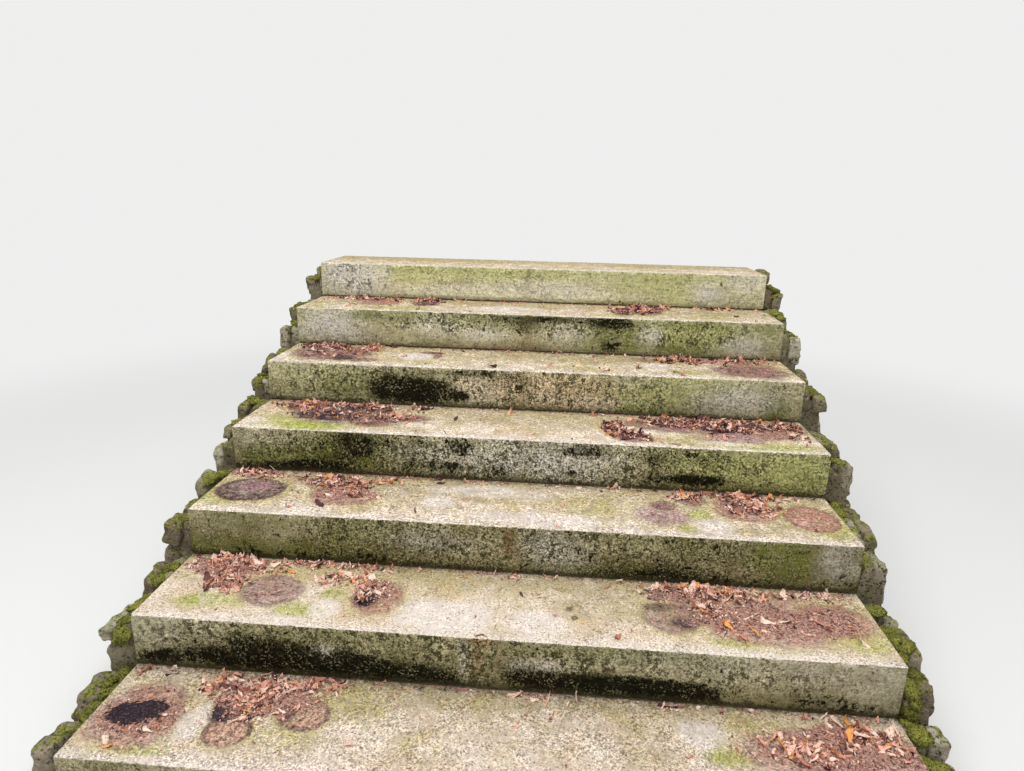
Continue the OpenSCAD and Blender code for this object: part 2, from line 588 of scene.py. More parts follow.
for node, side, seed in (("left_flank_wall", -1, 11), ("right_flank_wall", 1, 23)):
    wall_filling(node, node + "_mortar")
    finish_rubble(flank_stones(node, side, random.Random(seed)), node + "_stones")
wall_filling("back_wall", "back_wall_mortar")
finish_rubble(back_stones(random.Random(37)), "back_wall_stones")
for lump in lumps:
    bpy.data.objects.remove(lump)


# Each step is two long blocks of pale, fine-grained stone, with sharp but worn arrises and
# small chips along the nosing. The treads are bleached beside the nosing and blotched with
# algae, soil and round stains; the risers are green and blackened from the foot up.
arris = 0.005
arris_segments = 4
nosing_zone = 0.012
wear_zone = 0.040
length_cuts = (39, 4)
tread_cuts = (1, 5, 11)
riser_cuts = (1, 3, 8)
square_off = 0.00005
chip_size = 0.022
chip_depth = 0.0045
chip_edge = (0.34, 0.46)


def near(value, target):
    """Whether two lengths are the same for these blocks."""
    return abs(value - target) < square_off


def ends(mesh, edge):
    """The places of an edge's two ends."""
    return [mesh.vertices[i].co for i in edge.vertices]


def runs(axis, low=-9.0, high=9.0, shortest=0.0015):
    """A test for edges that run along an axis, with their middle in a range of it."""

    def test(mesh, edge):
        a, b = ends(mesh, edge)
        straight = all(near(a[k], b[k]) for k in range(3) if k != axis)
        return straight and abs(a[axis] - b[axis]) > shortest and low < (a[axis] + b[axis]) / 2 < high

    return test


def split(block, wanted, cuts):
    """Cuts the wanted edges of a block into equal lengths."""
    pick(block, "EDGE", wanted)
    bpy.ops.mesh.subdivide(number_cuts=cuts)


def box_piece(name, low, high):
    """A plain box between two corners, as the start of a piece."""
    bpy.ops.mesh.primitive_cube_add(size=1, location=(low + high) / 2, scale=high - low)
    piece = bpy.context.object
    piece.name = piece.data.name = name
    bpy.ops.object.transform_apply(location=True, rotation=True, scale=True)
    return piece


def cut_block(node):
    """Cuts one block with its worn arrises rounded and its faces divided for wear."""
    low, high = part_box(node)
    outer = low.x if abs(low.x) > abs(high.x) else high.x
    block = box_piece(node + "_stone", low, high)

    def worn_arris(mesh, edge):
        a, b = ends(mesh, edge)
        on_front = near(a.y, low.y) and near(b.y, low.y)
        on_top = near(a.z, high.z) and near(b.z, high.z)
        on_end = near(a.x, outer) and near(b.x, outer)
        return (on_front and on_top) or (on_front and on_end) or (on_top and on_end)

    edit(block)
    pick(block, "EDGE", worn_arris)
    bpy.ops.mesh.bevel(offset=arris, segments=arris_segments, profile=0.5, affect="EDGES")
    for reach in (nosing_zone, wear_zone):
        for place, normal in (((0, low.y + reach, 0), (0, 1, 0)), ((0, 0, high.z - reach), (0, 0, 1))):
            bpy.ops.mesh.select_all(action="SELECT")
            bpy.ops.mesh.bisect(plane_co=place, plane_no=normal)
    for cuts, shortest in zip(length_cuts, (0.1, 0.01)):
        split(block, runs(0, shortest=shortest), cuts)
    bounds = (low.y, low.y + nosing_zone, low.y + wear_zone, high.y)
    for k, cuts in enumerate(tread_cuts):
        split(block, runs(1, bounds[k], bounds[k + 1]), cuts)
    bounds = (high.z, high.z - nosing_zone, high.z - wear_zone, low.z)
    for k, cuts in enumerate(riser_cuts):
        split(block, runs(2, bounds[k + 1], bounds[k]), cuts)
    for unseen in (lambda mesh, face: face.normal.z < -0.9, lambda mesh, face: face.normal.y > 0.9):
        pick(block, "FACE", unseen)
        bpy.ops.mesh.dissolve_faces()
    done()
    return block


def weigh(piece, name, weights):
    """Paints a vertex group with one weight for each vertex, left out where it is 0."""
    group = piece.vertex_groups.new(name=name)
    for index, weight in enumerate(weights):
        if weight > 0:
            group.add([index], min(weight, 1.0), "REPLACE")


# Chips are scattered hollows with sound stone between them.
chips = bpy.data.textures.new("nosing_chips", "CLOUDS")
chips.use_color_ramp = True
for end, position, grey in zip(chips.color_ramp.elements, chip_edge, (0, 1)):
    end.position = position
    end.color = (grey, grey, grey, 1)

# Larger knocks in the nosing: step, distance along the width, depth and width.
knocks = [
    (1, 0.27, 0.005, 0.018), (1, -0.31, 0.003, 0.012), (2, -0.058, 0.008, 0.018),
    (2, 0.62, 0.004, 0.014), (3, -0.012, 0.005, 0.012), (3, 0.30, 0.003, 0.012),
    (4, -0.34, 0.004, 0.014), (5, 0.21, 0.005, 0.016), (6, -0.40, 0.005, 0.014),
    (7, 0.42, 0.004, 0.014),
]


def knock(block, place, depth, width):
    """Dents the nosing, with the knock deepest at its middle."""
    nearest = min(block.data.vertices, key=lambda vertex: (vertex.co - place).length).index
    edit(block)
    pick(block, "VERT", lambda mesh, vertex: vertex.index == nearest)
    bpy.ops.transform.translate(
        value=(0, depth, -depth),
        use_proportional_edit=True,
        proportional_edit_falloff="SPHERE",
        proportional_size=width,
    )
    done()


def wear_block(block, low, high, step):
    """Wears a block: slightly uneven faces, and chips and knocks along the nosing."""

    def near_nosing(co):
        reach = max(co.y - low.y, high.z - co.z)
        return 1 - reach / nosing_zone if reach < nosing_zone else 0

    for knocked, x, depth, width in knocks:
        if knocked == step and low.x < x < high.x:
            knock(block, Vector((x, low.y, high.z)), depth, width)
    weigh(block, "nosing", [near_nosing(vertex.co) for vertex in block.data.vertices])
    rough(block, "block_waves", 0.22, 0.0018, 1, 1.0)
    rough(block, "block_grit", 0.012, 0.0010, 2, 1.0)
    rough(block, "nosing_chips", chip_size, chip_depth, 3, 1.0, "nosing")
    apply_modifiers(block)


def mark_group():
    """A rounded mark with a ragged edge, the line around it and the ring outside it."""
    values = {
        "Place": (0.0, 0.0, 0.0),
        "Centre": (0.0, 0.0, 0.0),
        "Reach": (1.0, 1.0, 1.0),
        "Noise": 0.5,
        "Ragged": 0.4,
        "Soft": 0.1,
    }
    tree, given, wanted = new_group("surface_mark", values, ["Fill", "Line", "Rim"])
    offset = put(tree, "VectorMath", {0: given["Place"], 1: given["Centre"]}, operation="SUBTRACT")[0]
    share = put(tree, "VectorMath", {0: offset, 1: given["Reach"]}, operation="DIVIDE")[0]
    distance = put(tree, "VectorMath", {0: share}, operation="LENGTH")["Value"]
    distance = distance + (given["Noise"] - 0.5) * given["Ragged"]
    inner, outer = 1.0 - given["Soft"], given["Soft"] + 1.0
    fade(distance, outer, inner).to(wanted["Fill"])
    (fade(distance, 0.74, 0.92) * fade(distance, 1.10, 0.98)).to(wanted["Line"])
    (fade(distance, inner, outer) * fade(distance, 1.40, 1.08)).to(wanted["Rim"])
    return tree


surface_mark = mark_group()


def metres(table, first, last):
    """A table by step, with its columns from first up to last turned from millimetres to metres."""

    def turned(row):
        return (*row[:first], *(length / 1000 for length in row[first:last]), *row[last:])

    return {step: [turned(row) for row in rows] for step, rows in table.items()}


# Marks on the treads: kind, distance along the width, depth behind the nosing, half its
# length and half its depth, all in millimetres. They are painted in this order.
tread_marks = metres({
    1: [
        ("lime", -840, 40, 90, 14), ("green", -360, 235, 100, 60), ("green", -520, 110, 100, 35),
        ("soil", -885, 142, 112, 106), ("bare", -742, 130, 40, 60), ("ring", -650, 116, 60, 52),
        ("black", -690, 158, 32, 22), ("ring", -485, 187, 66, 56), ("dusk", -530, 195, 24, 40),
        ("bare", 500, 215, 58, 50), ("lime", 545, 155, 50, 28), ("green", 620, 265, 70, 35),
        ("soil", 820, 190, 230, 80), ("film", 360, 125, 70, 40), ("film", -50, 285, 500, 35),
    ],
    2: [
        ("lime", -840, 90, 100, 36), ("lime", -570, 75, 70, 28), ("lime", -500, 158, 36, 26),
        ("dusk", -685, 160, 86, 78), ("bare", -502, 85, 45, 45), ("soil", -375, 155, 78, 90),
        ("black", -400, 138, 44, 48), ("bare", -170, 90, 140, 70), ("bare", 70, 85, 90, 60),
        ("lime", 930, 90, 80, 50), ("lime", 600, 55, 70, 22), ("soil", 700, 165, 215, 112),
        ("soil", 900, 178, 100, 78), ("dusk", 450, 150, 80, 70), ("black", 480, 125, 40, 28),
        ("black", 410, 195, 40, 20), ("black", 170, 158, 12, 13), ("black", 183, 118, 11, 12),
        ("film", -100, 280, 500, 45), ("film", 280, 190, 140, 80),
    ],
    3: [
        ("bare", -120, 235, 200, 45), ("dusk", -630, 235, 80, 60), ("film", -420, 240, 100, 50),
        ("film", 700, 65, 100, 35), ("dusk", 555, 255, 50, 40), ("lime", -960, 90, 80, 50),
        ("disc", -878, 162, 112, 87), ("mauve", -868, 190, 62, 40), ("soil", -560, 150, 110, 72),
        ("bare", -250, 145, 50, 45), ("bare", 50, 60, 220, 45), ("green", 240, 170, 110, 70),
        ("mauve", 450, 135, 76, 68), ("dusk", 465, 205, 40, 35), ("lime", 570, 150, 40, 35),
        ("lime", 515, 55, 35, 25), ("bare", 600, 75, 58, 45), ("soil", 720, 200, 105, 80),
        ("lime", 960, 85, 60, 55), ("tan", 912, 165, 82, 88),
    ],
    4: [
        ("bare", -950, 80, 40, 35), ("lime", -765, 55, 160, 55), ("lime", -760, 50, 110, 34),
        ("lime", -880, 115, 60, 40), ("dusk", -700, 230, 200, 80), ("dusk", -810, 250, 100, 55),
        ("dusk", 940, 240, 60, 60), ("black", -690, 175, 160, 90), ("dusk", -560, 95, 60, 30),
        ("dusk", -540, 130, 90, 60), ("dusk", -430, 175, 80, 40), ("film", 0, 220, 300, 90),
        ("film", -460, 65, 120, 35), ("film", 560, 65, 120, 40), ("lime", 770, 50, 130, 36),
        ("lime", 910, 50, 70, 34), ("green", 550, 70, 110, 45), ("mauve", 720, 115, 130, 45),
        ("bare", 680, 60, 80, 20), ("dusk", 320, 170, 50, 60), ("dusk", 370, 90, 70, 50),
        ("bare", 440, 150, 50, 26), ("dusk", 640, 225, 270, 80), ("black", 720, 205, 110, 30),
        ("mauve", 780, 150, 140, 45), ("mauve", 540, 200, 60, 30), ("soil", 860, 200, 60, 80),
    ],
    5: [
        ("bare", -980, 90, 40, 80), ("dusk", -810, 170, 155, 120), ("black", -740, 95, 70, 40),
        ("mauve", -830, 220, 80, 60), ("dusk", -660, 75, 60, 28), ("dusk", 460, 250, 60, 35),
        ("bare", -460, 165, 72, 58), ("dusk", -405, 232, 50, 24), ("dusk", -378, 180, 16, 50),
        ("film", 200, 240, 400, 70), ("green", -450, 70, 120, 30), ("bare", 480, 145, 55, 65),
        ("lime", 600, 85, 70, 30), ("dusk", 840, 125, 140, 92), ("soil", 870, 205, 100, 50),
    ],
    6: [
        ("bare", -880, 100, 75, 65), ("lime", -600, 70, 160, 50), ("soil", -710, 205, 100, 85),
        ("dusk", -495, 210, 65, 70), ("film", -100, 240, 400, 80), ("bare", -120, 130, 160, 80),
        ("dusk", 375, 150, 55, 90), ("dusk", 460, 160, 80, 70), ("film", -920, 150, 100, 100),
        ("green", -930, 90, 80, 80), ("green", 400, 65, 180, 45), ("film", 700, 160, 250, 90),
        ("dusk", 470, 235, 90, 60), ("green", 720, 70, 130, 50),
    ],
    7: [("film", -500, 250, 500, 90), ("film", 550, 240, 300, 70)],
}, 1, 5)

# Marks on the risers: kind, distance along the width, height above the foot, half its
# length and half its height in millimetres, and its strength.
riser_marks = metres({
    1: [("black", -500, 0, 700, 80, 0.8), ("black", 500, 0, 700, 80, 0.8)],
    2: [
        ("black", -600, 45, 130, 55, 1.15), ("black", -820, 35, 120, 30, 0.95),
        ("black", -950, 15, 60, 30, 0.7), ("black", -720, 95, 50, 25, 0.4),
        ("black", -410, 35, 80, 50, 1.2), ("black", -240, 20, 140, 42, 0.95),
        ("black", 220, 25, 200, 42, 1.25), ("black", 460, 28, 140, 40, 0.95),
        ("black", 60, 60, 60, 30, 0.45), ("black", 740, 45, 100, 40, 0.45),
        ("black", 860, 15, 100, 35, 0.55), ("flecked", -500, 90, 420, 80, 1.1),
        ("flecked", -140, 70, 260, 80, 1.2), ("flecked", 350, 95, 450, 60, 0.8),
        ("green", -480, 110, 260, 45, 0.5), ("green", 300, 125, 300, 30, 0.6),
        ("green", -720, 20, 160, 25, 0.6), ("pale", -470, 62, 45, 30, 1.0),
        ("pale", 90, 72, 70, 26, 0.7), ("pale", 280, 20, 30, 24, 0.7),
        ("pale", 620, 115, 300, 50, 0.35), ("drab", 420, 85, 200, 26, 0.55),
        ("drab", 660, 75, 70, 55, 0.6), ("drab", -50, 35, 45, 28, 0.65),
        ("drab", -350, 105, 60, 35, 0.5), ("pale", -930, 110, 100, 50, 0.2),
        ("pale", 960, 60, 100, 90, 0.2), ("pale", -105, 85, 14, 60, 0.5),
        ("rust", -70, 80, 16, 65, 0.6), ("rust", -55, 140, 40, 16, 0.9),
    ],
    3: [
        ("black", 235, 75, 20, 22, 0.55), ("black", 325, 90, 20, 24, 0.5),
        ("black", 450, 60, 70, 30, 0.45), ("black", 500, 15, 300, 20, 0.65),
        ("black", -60, 30, 40, 20, 0.45), ("black", -550, 10, 450, 22, 0.5),
        ("black", 980, 40, 40, 50, 0.45), ("flecked", -150, 80, 350, 80, 1.1),
        ("flecked", -450, 80, 200, 70, 0.8), ("flecked", 420, 80, 320, 80, 0.9),
        ("green", 780, 95, 100, 70, 1.0), ("green", -480, 100, 100, 60, 0.5),
        ("green", 450, 110, 200, 45, 0.3), ("green", -800, 25, 300, 40, 0.7),
        ("green", -800, 120, 140, 30, 0.35), ("pale", -250, 85, 120, 35, 0.45),
        ("pale", 120, 80, 110, 60, 0.6), ("drab", 330, 105, 160, 45, 0.6),
        ("drab", -70, 95, 100, 50, 0.55), ("drab", 660, 35, 70, 30, 0.55),
        ("drab", -150, 30, 220, 22, 0.45), ("pale", 940, 90, 50, 70, 0.5),
        ("rust", -15, 100, 18, 55, 0.9),
    ],
    4: [
        ("black", -780, 10, 200, 22, 1.0), ("black", -575, 105, 85, 50, 0.8),
        ("black", -700, 25, 100, 35, 0.65), ("black", -440, 115, 30, 22, 0.45),
        ("black", -330, 118, 30, 22, 0.5), ("black", -220, 110, 50, 30, 0.9),
        ("black", -280, 45, 120, 25, 0.75), ("black", -80, 40, 60, 40, 0.75),
        ("black", 190, 115, 80, 22, 0.95), ("black", 170, 35, 20, 18, 0.95),
        ("black", 320, 60, 60, 30, 0.2), ("black", 440, 95, 32, 32, 0.62),
        ("black", 580, 35, 100, 20, 1.1), ("black", 430, 20, 50, 30, 0.65),
        ("black", 600, 120, 120, 30, 0.35), ("flecked", -250, 80, 320, 90, 1.1),
        ("flecked", 120, 80, 340, 90, 1.2), ("flecked", -700, 110, 200, 50, 0.9),
        ("flecked", 580, 90, 200, 60, 0.6), ("rust", -560, 30, 120, 30, 0.6),
        ("green", -600, 75, 160, 80, 1.0), ("green", -860, 40, 130, 50, 1.0),
        ("green", 560, 80, 160, 80, 0.25), ("sage", 720, 85, 260, 75, 0.75),
        ("green", 800, 15, 200, 18, 0.6), ("pale", -940, 120, 120, 40, 0.12),
        ("pale", -240, 75, 180, 60, 0.5), ("pale", 100, 70, 240, 80, 0.85),
        ("drab", 380, 50, 100, 35, 0.5), ("sage", 930, 75, 120, 60, 0.8),
    ],
    5: [
        ("black", -420, 50, 145, 55, 1.4), ("black", -570, 70, 70, 45, 0.4),
        ("black", -250, 40, 30, 22, 0.85), ("black", -50, 85, 80, 30, 0.65),
        ("black", 20, 45, 30, 22, 0.75), ("black", -200, 132, 160, 18, 0.65),
        ("black", 440, 12, 120, 16, 0.55), ("flecked", -620, 80, 240, 80, 0.9),
        ("flecked", -50, 80, 240, 80, 1.1), ("flecked", 300, 80, 250, 80, 0.5),
        ("sage", -780, 80, 220, 70, 0.35), ("green", -680, 70, 120, 55, 0.5),
        ("green", -500, 115, 140, 30, 0.4), ("sage", 420, 50, 160, 55, 0.65),
        ("green", 440, 18, 120, 20, 0.5), ("sage", 600, 110, 200, 45, 0.6),
        ("green", 910, 40, 50, 50, 1.0), ("pale", -170, 60, 110, 50, 0.7),
        ("pale", 50, 55, 80, 45, 0.8), ("pale", 770, 65, 130, 50, 0.65),
        ("sand", 100, 80, 220, 75, 0.75), ("sand", -160, 75, 140, 60, 0.45),
        ("sand", 200, 30, 140, 28, 0.8), ("pale", 200, 34, 120, 26, 0.55),
        ("rust", 140, 60, 100, 40, 0.2), ("rust", 80, 15, 240, 20, 0.35),
    ],
    6: [
        ("black", 200, 134, 190, 22, 0.72), ("black", 340, 120, 80, 30, 0.62),
        ("black", -80, 128, 140, 20, 0.58), ("black", -40, 90, 50, 22, 0.65),
        ("black", 315, 35, 45, 30, 1.05), ("flecked", -300, 110, 260, 45, 0.8),
        ("flecked", 100, 110, 300, 45, 0.9), ("flecked", 620, 100, 200, 60, 0.8),
        ("green", 330, 60, 160, 80, 0.9), ("green", 660, 60, 200, 60, 0.6),
        ("sage", 680, 90, 240, 70, 0.7), ("green", -550, 125, 200, 30, 0.6),
        ("green", -730, 125, 60, 22, 0.6), ("green", -970, 125, 35, 30, 0.5),
        ("green", 600, 130, 220, 22, 0.6), ("green", 960, 125, 60, 25, 0.6),
        ("green", 600, 25, 100, 22, 0.7), ("green", -250, 130, 50, 20, 0.5),
        ("green", -100, 120, 300, 40, 0.5), ("pale", -860, 85, 100, 55, 1.0),
        ("pale", -220, 60, 90, 35, 0.6), ("pale", -850, 35, 140, 25, 0.4),
        ("pale", -420, 85, 80, 40, 0.5), ("pale", 140, 75, 80, 35, 0.5),
        ("pale", 480, 85, 45, 35, 0.85), ("pale", 850, 50, 80, 40, 0.7),
        ("rust", -150, 15, 300, 18, 0.4),
    ],
    7: [
        ("flecked", -860, 80, 120, 70, 0.5), ("flecked", -200, 110, 400, 40, 0.25),
        ("olive", -580, 105, 170, 55, 0.9), ("olive", -220, 115, 260, 40, 0.6),
        ("olive", 500, 50, 220, 60, 0.8), ("olive", 520, 130, 120, 25, 0.6),
        # The long sage band high on this riser is algae with painted shade below the nosing.
        ("sage", 580, 70, 260, 60, 0.35), ("sage", 50, 130, 950, 26, 0.65),
        ("bleach", -760, 85, 80, 50, 0.8), ("bleach", -150, 35, 600, 30, 0.85),
        ("green", 0, 5, 900, 12, 0.4), ("pale", -870, 90, 130, 90, 1.1),
        ("pale", 50, 60, 200, 30, 0.6), ("pale", 760, 60, 70, 40, 0.9),
        ("pale", 920, 120, 80, 40, 0.6),
    ],
}, 1, 5)

# How much of each riser is hidden by grime, how strong its flecks and its grain are, how
# much film, grain and blotching each tread has, and how dark the foot of each riser and the
# back of each tread are, with dirt and painted shade in the corner.
riser_grime = {1: 0.75, 2: 0.64, 3: 0.84, 4: 0.74, 5: 0.51, 6: 0.37, 7: 0.19}
riser_flecks = {1: 0.40, 2: 0.06, 3: 0.25, 4: 0.34, 5: 0.30, 6: 0.24, 7: 0.20}
riser_grain = {1: 0.9, 2: 0.70, 3: 0.85, 4: 0.95, 5: 0.80, 6: 0.65, 7: 0.50}
tread_film = {1: 0.16, 2: 0.34, 3: 0.38, 4: 0.34, 5: 0.46, 6: 0.42, 7: 0.50}
tread_grain = {1: 1.25, 2: 0.90, 3: 1.25, 4: 1.10, 5: 1.30, 6: 1.35, 7: 1.30}
tread_blotch = {1: 0.35, 2: 0.30, 3: 0.75, 4: 0.55, 5: 0.90, 6: 0.80, 7: 0.95}
foot_dirt_and_shade = {1: 0.85, 2: 0.85, 3: 0.85, 4: 0.75, 5: 0.65, 6: 0.45, 7: 0.20}

clean_stone = (0.960, 0.810, 0.665)
dull_stone = (0.830, 0.665, 0.490)
# Bleached stone beside the nosing, also used for the painted highlight on the arris.
bleach_and_highlight = (0.970, 0.860, 0.780)
yellow_film = (0.64, 0.535, 0.225)
grey_film = (0.46, 0.365, 0.230)
speck_brown = (0.22, 0.135, 0.085)
# Dark band at the back of a tread, where it meets the riser above: dirt with painted shade in the
# corner.
tread_back_dirt_and_shade = (0.13, 0.105, 0.06)
tread_smear = (0.56, 0.46, 0.27)
pit_brown = (0.13, 0.10, 0.06)
riser_stone = (0.720, 0.662, 0.438)
riser_film = (0.150, 0.126, 0.046)
riser_damp = (0.125, 0.120, 0.040)
riser_crumbs = (0.33, 0.30, 0.17)
# Dark band at the foot of a riser, where it meets the tread below: dirt with painted shade in the
# corner.
riser_foot_dirt_and_shade = (0.040, 0.034, 0.015)
riser_smear = (0.210, 0.165, 0.080)
riser_deep = (0.060, 0.055, 0.020)
riser_black = (0.006, 0.0055, 0.0025)

# Colours of the marks that tint a riser. Black marks and flecks change its growth instead.
riser_shades = {
    "green": (0.155, 0.172, 0.038),
    "olive": (0.600, 0.590, 0.270),
    "sage": (0.410, 0.430, 0.155),
    "sand": (0.600, 0.440, 0.260),
    "drab": (0.480, 0.425, 0.265),
    "pale": (0.650, 0.615, 0.560),
    "bleach": (0.860, 0.800, 0.600),
    "rust": (0.240, 0.125, 0.055),
}
cleared = ("pale", "drab")
loose_kinds = ("black", *cleared)
loose_edge = (0.80, 3.0)
firm_edge = (0.45, 1.4)
most_growth = 1.30
growth_push = 0.215
damp_share = 0.53
deep_level = (1.082, 1.104)
black_level = (1.106, 1.128)

# Colour, strength, raggedness and softness of each kind of mark on a tread, then the strength
# of the dark line around it and of the algae outside it, and how speckled it is.
mark_looks = {
    "soil": ((0.48, 0.245, 0.190), 0.90, 1.3, 0.18, 0.30, 0.55, 0.95),
    "black": ((0.105, 0.062, 0.072), 0.90, 2.0, 0.30, 0.0, 0.30, 1.15),
    "bare": ((0.96, 0.86, 0.80), 0.75, 1.8, 0.32, 0.0, 0.20, 0.08),
    "ring": ((0.56, 0.310, 0.230), 0.90, 0.6, 0.12, 0.90, 0.50, 1.15),
    "dusk": ((0.31, 0.155, 0.150), 0.88, 1.3, 0.20, 0.5, 0.50, 1.15),
    "disc": ((0.135, 0.062, 0.085), 0.96, 0.50, 0.08, 0.8, 1.0, 1.00),
    "tan": ((0.57, 0.265, 0.205), 0.94, 0.45, 0.07, 0.6, 1.0, 0.50),
    "mauve": ((0.44, 0.240, 0.265), 0.80, 1.3, 0.30, 0.0, 0.30, 1.05),
    "lime": ((0.42, 0.475, 0.055), 0.79, 2.2, 0.50, 0.0, 0.0, 0.70),
    "green": ((0.56, 0.50, 0.14), 0.60, 3.0, 0.60, 0.0, 0.0, 0.80),
    "film": ((0.46, 0.38, 0.17), 0.50, 2.4, 0.60, 0.0, 0.0, 0.50),
}
mark_line = (0.055, 0.030, 0.030)
thin_growth = ("lime", "green", "film")
thin_fill, full_fill = 0.40, 0.60


def ramp(value, start, end, low, high):
    """Runs evenly from low where the value is start to high where it is end."""
    return put(value.tree, "MapRange", {0: value, 1: start, 2: end, 3: low, 4: high})[0]


def scaled(tree, colour, factor):
    """A colour made darker or lighter."""
    return put(tree, "VectorMath", {0: colour, "Scale": factor}, operation="SCALE")[0]


def grained(colour, noise_value, low, high):
    """A colour made darker and lighter by the grain of a noise."""
    return scaled(noise_value.tree, colour, ramp(noise_value, 0.34, 0.66, low, high))


def patchy(mask, noise_value, least):
    """A mask broken up by a noise, down to a least share."""
    return mask * ramp(noise_value, 0.42, 0.56, least, 1.0)


def unsettled(value, noise_value, reach):
    """A value pushed up and down by a noise."""
    return value + (noise_value - 0.5) * reach


def lively(noise_value, where, least, most):
    """A noise made fainter in some places and stronger in others."""
    return (noise_value - 0.5) * ramp(where, 0.42, 0.58, least, most) + 0.5


def mark_at(plan, centre, reach, noise_value, ragged, soft):
    """A mark on a face: its fill, the line around it and the rim outside it."""
    inputs = {"Place": plan, "Centre": (*centre, 0.0), "Reach": (*reach, 1.0)}
    inputs.update({"Noise": noise_value, "Ragged": ragged, "Soft": soft})
    return put(plan.tree, "Group", inputs, node_tree=surface_mark)


def tread_colours(number, place, across, depth, noises):
    """Colour of a tread: bleached nosing, algae, marks, and dirt towards the riser behind."""
    lumpy, broad, fine, medium, patch = noises
    plan = put(place.tree, "CombineXYZ", {0: across, 1: depth})[0]
    edge = lumpy * 0.55 + (patch + broad) * 0.45 - 0.225
    towards_back = fade(depth, 0.08, 0.33) * 0.30
    grime = growth(place, 0.060, towards_back + 0.34, 0.12)
    film = growth(place, 0.12, towards_back + tread_film[number], 0.14)
    nosing = fade(unsettled(depth, lumpy, 0.14), 0.050, 0.012)
    colour = layered(
        clean_stone,
        (fade(broad, 0.40, 0.62), dull_stone),
        (patchy(grime, medium, 0.20) * 0.60, grey_film),
        (patchy(film, medium, 0.20) * 0.80, yellow_film),
        (patchy(nosing, medium, 0.5) * 0.75, bleach_and_highlight),
    )
    calm = 0.0
    for kind, x, y, half_x, half_y in tread_marks[number]:
        shade, strength, ragged, soft, line, rim, speckled = mark_looks[kind]
        mark = mark_at(plan, (x, y), (half_x, half_y), edge, ragged, soft)
        if rim > 0:
            colour = paint(patchy(mark["Rim"], medium, 0.5) * rim, colour, yellow_film)
        if kind == "bare":
            calm = maths("MAXIMUM", mark["Fill"], calm)
        shade = grained(shade, medium, 1 - speckled, 1 + speckled)
        fill = patchy(mark["Fill"], lumpy, thin_fill if kind in thin_growth else full_fill)
        colour = paint(fill * strength, colour, shade)
        if line > 0:
            outline = patchy(patchy(mark["Line"], medium, 0.35), patch, 0.25)
            colour = paint(outline * line, colour, mark_line)
    # A dark band at the back of the tread, against the riser above: partly dirt, partly painted shade
    # in the corner.
    back_dirt_and_shade = patchy(fade(unsettled(depth, lumpy, 0.10), 0.300, 0.322), medium, 0.4)
    specks = fade(unsettled(unsettled(medium, patch, 0.30), grime, 0.05), 0.565, 0.625)
    specks = specks * (0.70 - calm * 0.60)
    colour = layered(colour, (back_dirt_and_shade * foot_dirt_and_shade[number], tread_back_dirt_and_shade), (specks, speck_brown))
    colour = grained(colour, medium, 0.84, 1.10)
    blotched, contrast = tread_blotch[number], tread_grain[number]
    colour = grained(colour, patch, 1 - 0.32 * blotched, 1 + 0.20 * blotched)
    grain = lively(fine, unsettled(patch, calm, -0.10), 0.45, 1.6)
    return grained(colour, grain, 1 - 0.44 * contrast, 1 + 0.20 * contrast)


def riser_colours(number, place, across, height, noises):
    """Colour of a riser: stone under grime and green film, flecks, and black growth."""
    lumpy, broad, fine, medium, patch = noises
    tree = place.tree
    face = put(tree, "CombineXYZ", {0: across, 1: height})[0]
    upright = stretched(place, (1.0, 1.0, 0.85))
    crust = cloud(upright, 0.0125, 6.0, 0.82, 0.5)
    blotch = cloud(upright, 0.050, 7.0, 0.72, 0.3)
    grime = unsettled(height * -1.6 + (riser_grime[number] + 0.12), broad, 1.3)
    grime = put(tree, "Clamp", {0: unsettled(grime, blotch, 0.9)})[0]
    colour = paint(grime, riser_stone, riser_film)
    spread, flecked = 0.0, riser_flecks[number]
    for kind, x, z, half_x, half_z, strength in riser_marks[number]:
        soft, ragged = loose_edge if kind in loose_kinds else firm_edge
        mark = mark_at(face, (x, z), (half_x, half_z), blotch, ragged, soft)["Fill"] * strength
        if kind == "black":
            spread = mark + spread
        if kind == "flecked":
            flecked = mark + flecked
        if kind in riser_shades:
            colour = paint(patchy(mark, lumpy, 0.55), colour, riser_shades[kind])
        if kind in cleared:
            spread = mark * -0.5 + spread
    damp = fade(unsettled(height, blotch, 0.16), 0.07, 0.0) * (damp_share * foot_dirt_and_shade[number])
    colour = paint(damp, colour, riser_damp)
    flecked = put(tree, "Clamp", {0: flecked})[0]
    specks = crust * 0.60 + medium * 0.40
    colour = paint(fade(specks, 0.545, 0.585) * (flecked * 0.65), colour, scaled(tree, colour, 1.65))
    dark = unsettled(specks + flecked * -0.040, blotch, 0.50)
    colour = paint(fade(dark, 0.448, 0.420) * (flecked * 0.62 + 0.32), colour, riser_deep)
    level = blotch * 0.90 + crust * 0.58 + medium * 0.47
    level = level + maths("MINIMUM", spread, most_growth) * growth_push
    level = level + (flecked * 0.030 + 0.08 * (riser_grime[number] - 0.90))
    grains = fade(fine, 0.57, 0.62) * fade(patch, 0.44, 0.56)
    # A dark band at the foot of the riser, against the tread below: partly dirt, partly painted shade
    # in the corner.
    foot = fade(unsettled(height, lumpy, 0.04), 0.018, 0.004)
    colour = layered(
        colour,
        (fade(level, *deep_level) * 0.75, riser_deep),
        (fade(level, *black_level) * 0.96, riser_black),
        (grains * 0.50, riser_crumbs),
        (foot * foot_dirt_and_shade[number], riser_foot_dirt_and_shade),
    )
    lines = cloud(stretched(place, (0.22, 1.0, 1.5)), 0.010, 3.0, 0.65)
    colour = grained(grained(colour, crust, 0.86, 1.14), lines, 0.84, 1.16)
    contrast = riser_grain[number]
    grain = lively(fine, unsettled(flecked * 0.12 + 0.42, patch, 0.6), 0.5, 1.7)
    return grained(colour, grain, 1 - 0.72 * contrast, 1 + 0.85 * contrast)


